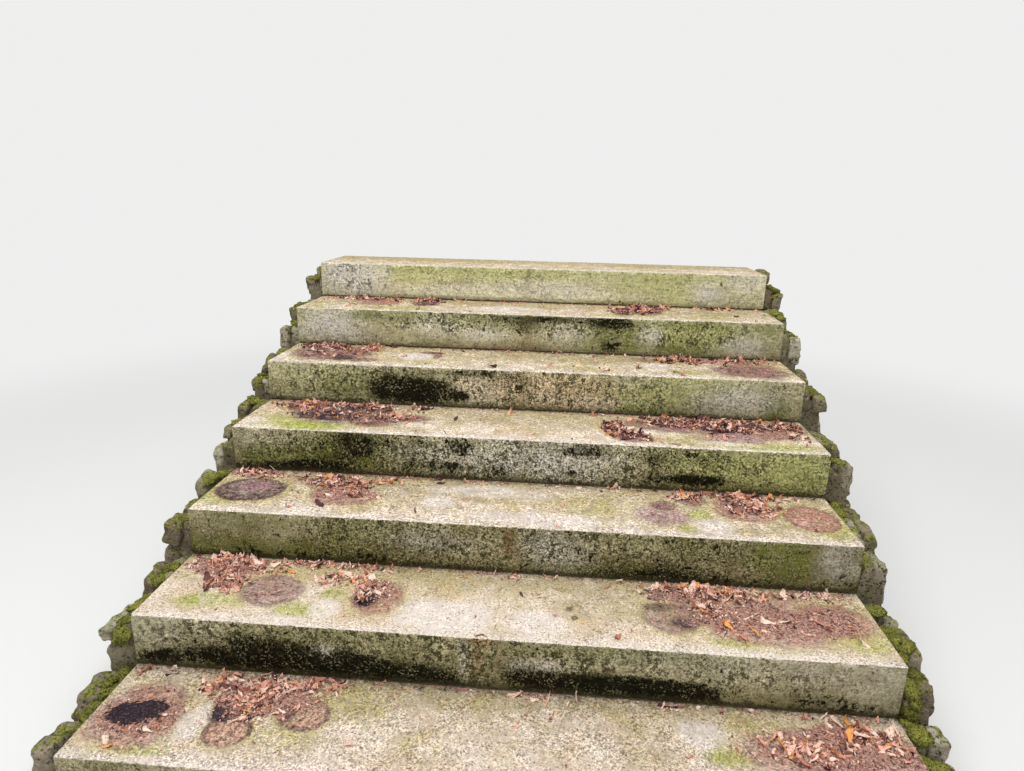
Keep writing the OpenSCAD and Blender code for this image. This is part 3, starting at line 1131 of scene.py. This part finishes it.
def step_material(number):
    """The weathered face of one step, with its own marks and its joint's smeared mortar."""
    low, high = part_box(f"step_{number}_left")
    joint_low, joint_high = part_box(f"mortar_joint_{number}")
    material, shader, place = new_material(f"weathered_step_{number}")
    along = axes_of(place)
    across, depth, height = along["X"], along["Y"] - low.y, along["Z"] - low.z
    top = high.z - low.z
    on_tread = fade(facing(place.tree)["Z"], 0.55, 0.8) * fade(height, top - 0.012, top - 0.007)
    lumpy = cloud(place, 0.020, 5.0, 0.7)
    broad = cloud(place, 0.13, 5.0, 0.6)
    fine = cloud(place, 0.0046 + 0.0006 * number, 2.0, 0.8)
    medium = cloud(place, 0.0105, 4.0, 0.78)
    patch = cloud(place, 0.045, 4.0, 0.65)
    noises = (lumpy, broad, fine, medium, patch)
    grain = grain_of(place, 0.0030, 0.40)
    tread = tread_colours(number, place, across, depth, noises)
    riser = riser_colours(number, place, across, height, noises)
    off_joint = maths("ABSOLUTE", across - (joint_low.x + joint_high.x) / 2)
    smear = fade(unsettled(off_joint, patch, 0.12), 0.034, 0.006)
    smeared = paint(on_tread, riser_smear, tread_smear)
    # A thin bright band along the rounded arris: worn, bleached stone with a painted highlight where
    # the edge turns to the light.
    worn_and_lit_arris = fade(depth, 0.010, 0.003) * fade(height, top - 0.005, top - 0.001)
    colour = layered(
        riser,
        (on_tread, tread),
        (patchy(smear, medium, 0.0) * 0.45, smeared),
        (patchy(worn_and_lit_arris, medium, 0.2) * 0.4, bleach_and_highlight),
        (grain["Pit"] * 0.6, pit_brown),
    )
    finish_surface(shader, colour, grain["Height"] + lumpy + fine, 0.0024, 0.88)
    return material


for number in range(1, step_count + 1):
    weathered = step_material(number)
    for hand in ("left", "right"):
        node = f"step_{number}_{hand}"
        block = cut_block(node)
        wear_block(block, *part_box(node), number)
        only(block)
        bpy.ops.object.shade_smooth_by_angle(angle=math.radians(50))
        dress(block, weathered)
        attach(block, "root")
        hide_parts(node)


# The blocks lie on a thin mortar bed, and a mortar joint closes the gap between the two
# blocks of a step. Both were pointed flush, so that the same growth has spread over them.
joint_overlap = 0.0020
joint_face = 0.0003
joint_cuts = (3, 50, 22)
joint_crumble = 0.0016
bed_cuts = (160, 0, 1)
bed_crumble = 0.003
bed_sink = 0.002
bed_mortar = mortar_material("bed_mortar", (0.17, 0.14, 0.09), (0.06, 0.05, 0.03), 0.4)


def mortar_piece(node, low, high, cuts, crumble, material):
    """A bar of mortar with a crumbled face, in place of its plain solid."""
    bar = box_piece(node + "_pointing", low, high)
    edit(bar)
    for axis, count in enumerate(cuts):
        if count:
            split(bar, runs(axis), count)
    done()
    rough(bar, "mortar_crumble", 0.012, crumble, 2, 0.9)
    apply_modifiers(bar)
    bpy.ops.object.shade_smooth_by_angle(angle=math.radians(60))
    dress(bar, material)
    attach(bar, "root")
    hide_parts(node)


for number in range(1, step_count + 1):
    joint_node, bed_node = f"mortar_joint_{number}", f"mortar_bed_{number}"
    low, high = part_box(joint_node)
    block_low, block_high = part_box(f"step_{number}_left")
    low = Vector((low.x - joint_overlap, block_low.y + joint_face, low.z))
    high = Vector((high.x + joint_overlap, high.y - joint_face, block_high.z - joint_face))
    weathered = bpy.data.materials[f"weathered_step_{number}"]
    mortar_piece(joint_node, low, high, joint_cuts, joint_crumble, weathered)
    low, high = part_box(bed_node)
    low.z = max(low.z - bed_sink, cad_low.z)
    mortar_piece(bed_node, low, high, bed_cuts, bed_crumble, bed_mortar)


# Low cushions of moss hold to the crown stones of the flank walls and to the gaps between
# the stones and the ends of the blocks.
cushion_reach = (0.012, 0.030)
cushion_share = 0.42
cushions_a_side = 130
cushion_widths = (0.7, 1.3)
cushion_heights = (0.7, 1.2)
cushion_lean = 0.6
crown_edge = 0.030
front_clear = 0.08
back_clear = 0.04
drop_height = 2.0
moss_patches = 9
moss_luck = 0.35


def moss_cushion(seed):
    """One cushion of moss, two metres across before it is set on the wall."""
    bpy.ops.mesh.primitive_ico_sphere_add(subdivisions=3, radius=1)
    cushion = bpy.context.object
    cushion.name = f"moss_cushion_{seed}"
    edit(cushion, "SELECT")
    bpy.ops.transform.vertex_random(offset=0.16, uniform=0.3, normal=0.7, seed=seed)
    bpy.ops.transform.resize(value=(1, 1, cushion_share))
    done()
    return cushion


# Moss colours: a base green, broad lighter patches of painted light, painted shade between the tufts
# and painted highlights on their tips.
moss_green = (0.20, 0.20, 0.045)
moss_lit = (0.36, 0.36, 0.075)
moss_deep = (0.035, 0.033, 0.012)
moss_tips = (0.52, 0.50, 0.15)


def moss_material():
    """Short moss, with painted highlights where it catches the light, yellow-green on its tips, and
    painted shade, nearly black, between them.
    """
    material, shader, place = new_material("crown_moss")
    fine = cloud(place, 0.0045, 4.0, 0.75)
    broad = cloud(place, 0.050, 4.0, 0.6)
    colour = layered(
        moss_green,
        (fade(broad, 0.40, 0.60), moss_lit),
        (fade(fine, 0.52, 0.40), moss_deep),
        (fade(fine, 0.58, 0.68) * 0.7, moss_tips),
    )
    finish_surface(shader, colour, fine, 0.006, 1.0)
    return material


crown_moss = moss_material()
cushion_seeds = range(1, 5)


def moss_of(wall, side, chance):
    """Sets cushions of moss on a wall's crown, found by dropping a line from above."""
    masters = [moss_cushion(seed) for seed in cushion_seeds]
    set_down = []
    while len(set_down) < cushions_a_side:
        reach = chance.uniform(*cushion_reach)
        inner = block_end + reach
        x = side * chance.triangular(inner, flank_foot - crown_edge - reach, inner)
        y = chance.uniform(cad_low.y + front_clear, cad_high.y - back_clear)
        hit, spot, normal, _ = wall.ray_cast(Vector((x, y, drop_height)), Vector((0, 0, -1)))
        patch = noise.noise(Vector((x * moss_patches, y * moss_patches, side)))
        grows = patch > chance.uniform(-moss_luck, moss_luck)
        if not hit or not grows or spot.z + reach > cad_high.z:
            continue
        piece = copy_of(chance.choice(masters))
        lean = Vector((0, 0, 1)).lerp(normal, cushion_lean).to_track_quat("Z", "Y").to_matrix().to_4x4()
        width = reach * chance.uniform(*cushion_widths)
        height = reach * chance.uniform(*cushion_heights)
        size = Matrix.Diagonal((reach, width, height, 1))
        spin = Matrix.Rotation(chance.uniform(-math.pi, math.pi), 4, "Z")
        piece.data.transform(Matrix.Translation(spot) @ lean @ spin @ size)
        set_down.append(piece)
    moss = join(set_down, wall.name.replace("stones", "moss"))
    rough(moss, "moss_tufts", 0.008, 0.006, 1)
    apply_modifiers(moss)
    bpy.ops.object.shade_smooth()
    dress(moss, crown_moss)
    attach(moss, "root")
    for master in masters:
        bpy.data.objects.remove(master)


bpy.context.view_layer.update()
for node, side, seed in (("left_flank_wall", -1, 5), ("right_flank_wall", 1, 8)):
    moss_of(bpy.data.objects[node + "_stones"], side, random.Random(seed))


# Soil and rotted leaves have built up in thin crusts on the treads: in round patches, in
# drifts near the ends, and in a line of dirt along the foot of every riser.
crust_cell = 0.006
crust_sink = 0.003
crust_full = 0.014
crust_skirt = 0.003
crust_cut = 0.9
crust_rise = 0.35
mound_rise = 0.90
mound_least = 0.010
foot_thickness = 0.003
foot_start = 0.308
foot_run = 0.010
foot_gaps = (0.2, 2.5)
foot_gap_lumps = 5
foot_wobble = 0.030
foot_tone = 0.55
tread_reach = 0.322

# Noises that fray the edge of a crust: lumps a metre, layer and strength.
crust_fray = ((11, 3, 0.36), (45, 0, 0.30), (130, 9, 0.22))

# Crusts on each tread: distance along the width, depth behind the nosing, half the length,
# half the depth and thickness in millimetres, and tone from black earth at 0 to brown leaf
# soil at 1.
crusts = metres({
    1: [
        (-885, 142, 104, 98, 2.4, 0.95), (-900, 150, 62, 42, 15, -0.25),
        (-872, 172, 46, 30, 18, 0.04), (-660, 175, 60, 40, 3.5, 0.3), (-620, 235, 130, 72, 6, 0.75),
        (830, 195, 200, 68, 3, 0.85), (850, 245, 110, 50, 4.5, 0.8),
    ],
    2: [
        (-860, 270, 130, 55, 5.5, 0.8), (-830, 190, 60, 60, 3.5, 0.7),
        (-400, 140, 42, 46, 1.8, 0.05), (-360, 180, 55, 60, 1.8, 0.6),
        (700, 168, 200, 102, 2.6, 0.75), (900, 180, 85, 68, 2.4, 0.8),
        (520, 260, 150, 45, 5.5, 0.45),
    ],
    3: [
        (-900, 290, 110, 35, 5.5, 0.8), (-570, 170, 100, 70, 3, 0.65),
        (-640, 245, 90, 50, 3.5, 0.3), (720, 220, 100, 70, 2.8, 0.45), (540, 270, 60, 30, 4, 0.2),
    ],
    4: [
        (-705, 168, 140, 72, 2, 0.22), (-540, 140, 80, 60, 2.4, 0.4), (-700, 235, 180, 60, 3, 0.3),
        (-720, 280, 200, 45, 5, 0.35), (-430, 180, 70, 36, 2.2, 0.4), (315, 170, 45, 55, 2.6, 0.3),
        (370, 90, 65, 45, 2.6, 0.35), (640, 250, 260, 60, 4.5, 0.3), (720, 200, 120, 34, 2.6, 0.15),
    ],
    5: [
        (-810, 180, 140, 105, 3.2, 0.42), (-740, 95, 55, 34, 1.8, 0.2), (-400, 235, 40, 20, 2, 0.3),
        (840, 130, 128, 86, 2.6, 0.45), (700, 270, 200, 38, 4, 0.6),
    ],
    6: [
        (-710, 215, 90, 80, 2.6, 0.55), (-495, 215, 56, 62, 2.6, 0.3), (375, 150, 45, 80, 2.6, 0.3),
        (470, 240, 85, 55, 3, 0.4),
    ],
}, 0, 5)


def clamped(value):
    """A value kept between 0 and 1."""
    return min(max(value, 0.0), 1.0)


def noise_at(x, depth, lumps_a_metre, layer):
    """A smooth noise at one place on a tread."""
    return noise.noise(Vector((x * lumps_a_metre, depth * lumps_a_metre, layer)))


def fray(number, x, depth, noises):
    """How far the edge of a patch is pushed out or in at one place on a tread."""
    return sum(noise_at(x, depth, lumps, number + layer) * part for lumps, layer, part in noises)


def distance_to(x, depth, patch):
    """How far a place lies from the middle of a patch, where 1 is its edge."""
    centre, behind, half_x, half_y = patch
    return math.hypot((x - centre) / half_x, (depth - behind) / half_y)


def crust_at(number, x, depth):
    """Thickness and tone of the crust at one place on a tread."""
    ragged = fray(number, x, depth, crust_fray)
    thickest, tone = 0.0, 0.5
    for *patch, thick, kind in crusts[number]:
        rise = crust_rise if thick < mound_least else mound_rise
        share = clamped((1.0 + ragged - distance_to(x, depth, patch)) / rise)
        if thick * share > thickest:
            thickest, tone = thick * share, kind
    gaps = noise_at(x, 0.0, foot_gap_lumps, number + 60)
    broken = clamped(foot_gaps[0] + foot_gaps[1] * gaps)
    along_foot = min((depth - foot_start + foot_wobble * ragged) / foot_run, broken)
    if foot_thickness * along_foot > thickest:
        thickest, tone = foot_thickness * along_foot, foot_tone
    return thickest, tone


black_earth = (0.042, 0.030, 0.038)
leaf_soil = (0.53, 0.270, 0.205)
soil_gap_shade = (0.070, 0.036, 0.040)
grey_grains = (0.150, 0.120, 0.135)
pale_grains = (0.86, 0.62, 0.50)


def soil_material():
    """Crumbly earth: black soil and brown leaf soil with paler grains, and painted shade in the gaps
    between its crumbs.
    """
    material, shader, place = new_material("tread_soil")
    crumb = cloud(place, 0.0095, 5.0, 0.82)
    fine = cloud(place, 0.0060, 3.0, 0.80)
    broad = cloud(place, 0.035, 4.0, 0.6)
    brown = fade(unsettled(tone_of(place.tree), broad, 1.2), 0.12, 0.60)
    colour = layered(
        black_earth,
        (brown, leaf_soil),
        # Near-black patches where a noise runs low are painted shade in the gaps between crumbs.
        (fade(crumb, 0.51, 0.44) * 0.90, soil_gap_shade),
        (fade(fine, 0.53, 0.60) * 0.85, paint(brown, grey_grains, pale_grains)),
    )
    finish_surface(shader, colour, crumb + fine, 0.006, 1.0)
    return material


tread_soil = soil_material()


def tread_grid(name, width, reach, start, cell, level):
    """A flat grid of small faces over a tread, from a start behind its nosing, at a given level."""
    bpy.ops.mesh.primitive_grid_add(
        x_subdivisions=round(width / cell),
        y_subdivisions=round(reach / cell),
        size=1,
        location=(0, start + reach / 2, level),
    )
    grid = bpy.context.object
    grid.scale = (width, reach, 1)
    grid.name = grid.data.name = name
    bpy.ops.object.transform_apply(location=True, rotation=True, scale=True)
    return grid


def lay_soil(number):
    """The crusts of one tread, as closed sheets that dip into the stone at their edges."""
    low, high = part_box(f"step_{number}_left")
    right_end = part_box(f"step_{number}_right")[1].x
    width = right_end - low.x - 2 * arris
    soil = tread_grid(f"step_{number}_soil", width, tread_reach, low.y, crust_cell, high.z - crust_sink)
    places = [crust_at(number, vertex.co.x, vertex.co.y - low.y) for vertex in soil.data.vertices]
    store(soil, "tone", [tone for thick, tone in places])
    weigh(soil, "crust", [thick / crust_full for thick, tone in places])
    modifier = soil.modifiers.new("build_up", "DISPLACE")
    modifier.direction = "Z"
    modifier.strength = crust_full + crust_sink
    modifier.mid_level = 0
    modifier.vertex_group = "crust"
    apply_modifiers(soil)
    floor = high.z - crust_sink * crust_cut
    edit(soil)
    pick(soil, "FACE", lambda mesh, face: all(mesh.vertices[i].co.z < floor for i in face.vertices))
    bpy.ops.mesh.delete(type="FACE")
    done()
    rough(soil, "soil_lumps", 0.014, 0.012, 3, 0.5, "crust")
    rough(soil, "soil_crumbs", 0.006, 0.002, 1)
    apply_modifiers(soil)
    edit(soil)
    bpy.ops.mesh.select_mode(type="EDGE")
    bpy.ops.mesh.select_non_manifold()
    bpy.ops.mesh.extrude_region_move(TRANSFORM_OT_translate={"value": (0, 0, -crust_skirt)})
    bpy.ops.mesh.fill_holes(sides=0)
    bpy.ops.mesh.select_all(action="SELECT")
    bpy.ops.mesh.normals_make_consistent(inside=False)
    done()
    bpy.ops.object.shade_smooth_by_angle(angle=math.radians(60))
    dress(soil, tread_soil)
    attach(soil, "root")


for number in range(1, step_count):
    lay_soil(number)


# Rotted fragments of leaves lie loose on the crusts, curled and brown, with small crumbs
# between them, mostly in heaps against the foot of the risers.
mould_cell = 0.012
mould_side_gap = 0.025
mould_start = 0.020
mould_short = 0.030
mould_lift = 0.0015
flake_ends, flake_point = 0.4, 0.40
flake_wear = 0.13
flake_thickness = 0.03
crumb_radius = 0.0022
crumb_wear = 0.0007
flakes_per_area = 8600.0
crumbs_per_area = 15000.0
flake_tilt, crumb_tilt = 0.55, 3.1
flake_sizes, crumb_sizes = (0.5, 1.25), (0.5, 1.6)
loose_amount, loose_height = 0.004, 0.001
foot_amount, foot_unrest, foot_height = 0.16, 0.30, 0.003
foot_litter = (0.285, 0.030)
heap_spill, heap_rise = 1.15, 0.9

# Noises that fray the edge of a heap: lumps a metre, layer and strength.
heap_fray = ((22, 20, 0.55), (60, 30, 0.35))

# Heaps on each tread: distance along the width, depth behind the nosing, half the length,
# half the depth and height in millimetres, and amount.
heaps = metres({
    1: [
        (-610, 235, 110, 78, 18, 1.0), (-500, 275, 100, 40, 12, 0.9), (-730, 268, 60, 42, 12, 0.9),
        (-650, 170, 50, 30, 5, 0.5), (-885, 138, 110, 100, 3, 0.1), (720, 195, 140, 55, 10, 0.7),
        (910, 245, 120, 55, 12, 0.8),
    ],
    2: [
        (-840, 280, 160, 60, 20, 1.0), (-830, 190, 62, 62, 10, 0.9), (-600, 305, 200, 22, 10, 0.9),
        (-470, 235, 85, 36, 12, 0.9), (-400, 195, 60, 45, 8, 0.7), (-370, 120, 70, 50, 3, 0.15),
        (580, 275, 200, 45, 16, 1.0), (550, 200, 50, 70, 10, 0.8), (600, 120, 45, 40, 5, 0.5),
        (870, 288, 130, 28, 7, 0.7), (740, 165, 230, 95, 2, 0.12),
    ],
    3: [
        (-910, 290, 110, 35, 15, 1.0), (-620, 250, 110, 55, 14, 1.0), (-550, 160, 100, 60, 3, 0.25),
        (-440, 280, 60, 30, 6, 0.5), (540, 270, 80, 36, 8, 0.8), (730, 215, 100, 70, 6, 0.6),
        (740, 290, 180, 25, 8, 0.8),
    ],
    4: [
        (-830, 275, 130, 50, 12, 1.0), (-620, 275, 130, 42, 10, 0.9), (-500, 170, 120, 50, 4, 0.5),
        (-420, 270, 40, 40, 6, 0.6), (-700, 190, 150, 80, 4, 0.28), (310, 175, 46, 55, 9, 0.9),
        (360, 95, 60, 45, 8, 0.9), (430, 58, 40, 26, 5, 0.6), (630, 255, 250, 56, 12, 1.0),
        (720, 205, 150, 36, 6, 0.7), (660, 120, 60, 50, 2, 0.12), (950, 160, 50, 80, 3, 0.25),
        (940, 255, 60, 50, 6, 0.8),
    ],
    5: [
        (-860, 270, 120, 40, 10, 0.9), (-670, 255, 60, 50, 10, 0.8), (-800, 160, 130, 90, 2, 0.1),
        (600, 250, 150, 50, 10, 0.5), (840, 275, 150, 30, 8, 0.7),
    ],
    6: [
        (-760, 275, 160, 34, 10, 0.8), (-500, 265, 70, 40, 8, 0.7), (380, 180, 60, 80, 6, 0.5),
        (460, 170, 80, 60, 6, 0.6), (470, 255, 120, 50, 10, 0.9), (800, 290, 100, 22, 6, 0.5),
    ],
}, 0, 5)


def heap_at(number, x, depth):
    """Amount and height of loose mould at one place on a tread."""
    ragged = fray(number, x, depth, heap_fray)
    amount, height = loose_amount, loose_height
    for *patch, top, full in heaps[number]:
        share = clamped((heap_spill + ragged - distance_to(x, depth, patch)) / heap_rise)
        amount = max(amount, full * share)
        height = max(height, top * share * share)
    start, run = foot_litter
    along_foot = clamped((depth - start + run * ragged) / run)
    amount = max(amount, (foot_amount + foot_unrest * ragged) * along_foot)
    height = max(height, foot_height * along_foot)
    return amount, height


def curled_flake(name, length, width, curl, fold, seed):
    """A dry scrap of leaf, narrow at both ends, curled along its length and across it."""
    bpy.ops.mesh.primitive_grid_add(x_subdivisions=4, y_subdivisions=2, size=1)
    flake = bpy.context.object
    flake.name = name
    edit(flake)
    pick(flake, "VERT", lambda mesh, vertex: abs(vertex.co.x) > flake_ends)
    bpy.ops.transform.resize(value=(1, flake_point, 1))
    bpy.ops.mesh.select_all(action="SELECT")
    bpy.ops.transform.vertex_random(offset=flake_wear, uniform=1.0, normal=0.0, seed=seed)
    done()
    for axis, angle in (("Y", curl), ("X", fold)):
        bend = flake.modifiers.new("curl", "SIMPLE_DEFORM")
        bend.deform_method = "BEND"
        bend.deform_axis = axis
        bend.angle = angle
    flake.modifiers.new("leaf", "SOLIDIFY").thickness = flake_thickness
    apply_modifiers(flake)
    flake.scale = (length, width, (length + width) / 2)
    bpy.ops.object.transform_apply(location=True, rotation=True, scale=True)
    bpy.ops.object.origin_set(type="ORIGIN_GEOMETRY", center="BOUNDS")
    flake.location = (0, 0, 0)
    return flake


def crumb(name, seed):
    """A crumb of earth or bark, a few millimetres long."""
    bpy.ops.mesh.primitive_ico_sphere_add(subdivisions=1, radius=crumb_radius)
    piece = bpy.context.object
    piece.name = name
    edit(piece, "SELECT")
    bpy.ops.transform.resize(value=(1.5, 0.9, 0.7))
    bpy.ops.transform.vertex_random(offset=crumb_wear, uniform=1.0, normal=0.0, seed=seed)
    done()
    return piece


def set_aside(pieces, name):
    """Moves master pieces into a collection of their own, for scattering."""
    group = bpy.data.collections.new(name)
    for piece in pieces:
        for owner in list(piece.users_collection):
            owner.objects.unlink(piece)
        group.objects.link(piece)
    return group


def scatter_tree(name, group, density, tilt, sizes):
    """Scatters copies of a collection's pieces over faces and makes them real."""
    tree = bpy.data.node_groups.new(name, "GeometryNodeTree")
    tree.interface.new_socket("Geometry", in_out="INPUT", socket_type="NodeSocketGeometry")
    seed = tree.interface.new_socket("Seed", in_out="INPUT", socket_type="NodeSocketInt")
    seed.default_value = 1
    tree.interface.new_socket("Geometry", in_out="OUTPUT", socket_type="NodeSocketGeometry")
    given = Outputs(tree.nodes.new("NodeGroupInput").outputs)
    wanted = tree.nodes.new("NodeGroupOutput").inputs

    def chance(low, high, seed_step, kind="FLOAT"):
        """A random number or vector for each copy, from the tree's seed."""
        first, output = (2, 1) if kind == "FLOAT" else (0, 0)
        inputs = {first: low, first + 1: high, "Seed": given["Seed"] + float(seed_step)}
        return put(tree, "FunctionNodeRandomValue", inputs, data_type=kind)[output]

    def kept(label):
        """A value that the sheet keeps for each vertex."""
        inputs = {"Name": label}
        return put(tree, "GeometryNodeInputNamedAttribute", inputs, data_type="FLOAT")["Attribute"]

    amount = kept("amount") * density
    inputs = {"Mesh": given["Geometry"], "Density": amount, "Seed": given["Seed"]}
    spots = put(tree, "GeometryNodeDistributePointsOnFaces", inputs, distribute_method="RANDOM")
    lift = put(tree, "CombineXYZ", {"Z": kept("heap") * chance(0.0, 1.0, 3)})[0]
    points = put(tree, "GeometryNodeSetPosition", {"Geometry": spots["Points"], "Offset": lift})[0]
    apart = {"Collection": group, "Separate Children": True, "Reset Children": True}
    turn = chance((-tilt, -tilt, -math.pi), (tilt, tilt, math.pi), 5, "FLOAT_VECTOR")
    inputs = {
        "Points": points,
        "Instance": put(tree, "GeometryNodeCollectionInfo", apart)[0],
        "Pick Instance": True,
        "Rotation": put(tree, "FunctionNodeEulerToRotation", {"Euler": turn})[0],
        "Scale": chance(*sizes, 7),
    }
    copies = put(tree, "GeometryNodeInstanceOnPoints", inputs)[0]
    inputs = {"Geometry": copies, "Name": "tone", "Value": chance(0.0, 1.0, 9)}
    kinds = {"data_type": "FLOAT", "domain": "INSTANCE"}
    toned = put(tree, "GeometryNodeStoreNamedAttribute", inputs, **kinds)[0]
    put(tree, "GeometryNodeRealizeInstances", {"Geometry": toned})[0].to(wanted["Geometry"])
    return tree, seed.identifier


# Scraps of leaf: length, width, curl along the length and fold across the width.
flake_shapes = [
    (0.032, 0.010, 1.4, 1.7), (0.024, 0.008, -1.2, 1.9), (0.040, 0.012, 1.9, 1.3),
    (0.018, 0.008, 1.0, 2.0), (0.030, 0.007, 1.3, -1.9), (0.016, 0.009, -0.8, 1.2),
    (0.048, 0.014, -1.5, 1.5), (0.024, 0.011, 1.9, -1.1), (0.044, 0.003, 0.9, 0.0),
    (0.030, 0.002, -1.3, 0.0), (0.052, 0.0025, 1.6, 0.0),
]
scraps = [curled_flake(f"flake_{i}", *shape, i) for i, shape in enumerate(flake_shapes, 1)]
flakes = set_aside(scraps, "mould_flakes")
crumbs = set_aside([crumb(f"crumb_{seed}", seed) for seed in (1, 2, 3)], "mould_crumbs")
scatters = [
    scatter_tree("scatter_flakes", flakes, flakes_per_area, flake_tilt, flake_sizes),
    scatter_tree("scatter_crumbs", crumbs, crumbs_per_area, crumb_tilt, crumb_sizes),
]

leaf_purple = (0.110, 0.048, 0.052)
leaf_brown = (0.55, 0.250, 0.180)
leaf_tan = (0.88, 0.480, 0.360)
leaf_pale = (0.98, 0.740, 0.610)
leaf_orange = (0.88, 0.410, 0.130)
leaf_veins = (0.24, 0.100, 0.075)


def mould_material():
    """Rotted leaf, from purple-brown through red-brown to a faded pinkish tan."""
    material, shader, place = new_material("leaf_mould")
    tone = tone_of(place.tree)
    vein = cloud(place, 0.006, 3.0, 0.6)
    up_flight = axes_of(place)["Y"]
    faded = tone + (fade(up_flight, -0.50, 0.0) * -0.20 + 0.06)
    colour = layered(
        leaf_purple,
        (fade(faded, 0.12, 0.24), leaf_brown),
        (fade(faded, 0.34, 0.52), leaf_tan),
        (fade(faded, 0.58, 0.78), leaf_pale),
        (fade(tone, 0.945, 0.950), leaf_orange),
        (fade(vein, 0.46, 0.34) * 0.55, leaf_veins),
    )
    finish_surface(shader, colour, vein, 0.001, 0.9)
    return material


leaf_mould = mould_material()


def scatter_mould(number):
    """The loose mould and crumbs on one tread."""
    low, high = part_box(f"step_{number}_left")
    right_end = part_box(f"step_{number}_right")[1].x
    width, reach = right_end - low.x - 2 * mould_side_gap, tread_reach - mould_short
    start, level = low.y + mould_start, high.z + mould_lift
    spread = []
    for kind, (tree, seed) in enumerate(scatters):
        sheet = tread_grid(f"step_{number}_mould_{kind}", width, reach, start, mould_cell, level)
        places = [heap_at(number, vertex.co.x, vertex.co.y - low.y) for vertex in sheet.data.vertices]
        for label, values in zip(("amount", "heap"), zip(*places)):
            store(sheet, label, values)
        modifier = sheet.modifiers.new("scatter", "NODES")
        modifier.node_group = tree
        modifier[seed] = number * 10 + kind
        apply_modifiers(sheet)
        spread.append(sheet)
    mould = join(spread, f"step_{number}_leaf_mould")
    bpy.ops.object.shade_smooth_by_angle(angle=math.radians(40))
    dress(mould, leaf_mould)
    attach(mould, "root")


for number in range(1, step_count):
    scatter_mould(number)
for group in (flakes, crumbs):
    for piece in list(group.objects):
        bpy.data.objects.remove(piece)
    bpy.data.collections.remove(group)


# The floor and backdrop are plain and pale, with soft light from above and the front.
floor_size = 40.0
floor_fade = (2.2, 5.2)
backdrop_grey = (0.86, 0.86, 0.855, 1.0)
floor_grey = (0.82, 0.82, 0.815, 1.0)
white = (1.0, 1.0, 1.0, 1.0)
ambient_strength = 0.62
bpy.ops.mesh.primitive_plane_add(size=floor_size)
floor = bpy.context.object
floor.name = "studio_floor"
floor_paint, shader, place = new_material("studio_floor")
tree = place.tree
shader.inputs["Base Color"].default_value = floor_grey
shader.inputs["Roughness"].default_value = 0.9
shader.inputs["Specular IOR Level"].default_value = 0.0
far = fade(put(tree, "VectorMath", {0: place}, operation="LENGTH")["Value"], *floor_fade)
glow = put(tree, "Emission", {"Color": backdrop_grey, "Strength": 1.0})[0]
mix = put(tree, "MixShader", {0: far, 1: Wire(shader.outputs[0]), 2: glow})[0]
mix.to(tree.nodes["Material Output"].inputs["Surface"])
dress(floor, floor_paint)

world = bpy.context.scene.world or bpy.data.worlds.new("studio")
bpy.context.scene.world = world
world.use_nodes = True
tree = world.node_tree
tree.nodes.clear()
rays = put(tree, "LightPath")
mirrored = maths("MAXIMUM", rays["Is Glossy Ray"], rays["Is Transmission Ray"])
seen = maths("MAXIMUM", rays["Is Camera Ray"], mirrored)
ambient = put(tree, "Background", {"Color": white, "Strength": ambient_strength})[0]
backdrop = put(tree, "Background", {"Color": backdrop_grey, "Strength": 1.0})[0]
mix = put(tree, "MixShader", {0: seen, 1: ambient, 2: backdrop})[0]
mix.to(tree.nodes.new("ShaderNodeOutputWorld").inputs["Surface"])

# One large square lamp hangs over the foot of the flight and points at its middle.
lamp_place, lamp_target = Vector((-0.25, -1.0, 4.6)), Vector((0.0, 0.0, 0.5))
lamp_data = bpy.data.lights.new("overhead_softbox", "AREA")
lamp_data.shape = "SQUARE"
lamp_data.size = 4.5
lamp_data.energy = 165.0
lamp = bpy.data.objects.new("overhead_softbox", lamp_data)
lamp.location = lamp_place
lamp.rotation_euler = (lamp_target - lamp_place).to_track_quat("-Z", "Y").to_euler()
bpy.context.scene.collection.objects.link(lamp)

# The camera stands where the photograph was taken, fitted to the corners of the treads.
camera_place = (0.1166, -2.3221, 1.4230)
camera_data = bpy.data.cameras.new("camera")
camera_data.sensor_width = 36.0
camera_data.lens = 24.059
camera = bpy.data.objects.new("camera", camera_data)
yaw, pitch, roll = math.radians(4.165), math.radians(15.939), math.radians(1.2515)
level = Matrix.Rotation(yaw, 4, "Z") @ Matrix.Rotation(math.pi / 2 - pitch, 4, "X")
turn = level @ Matrix.Rotation(roll, 4, "Z")
camera.matrix_world = Matrix.Translation(camera_place) @ turn
bpy.context.scene.collection.objects.link(camera)
bpy.context.scene.camera = camera
bpy.context.scene.view_settings.view_transform = "Standard"
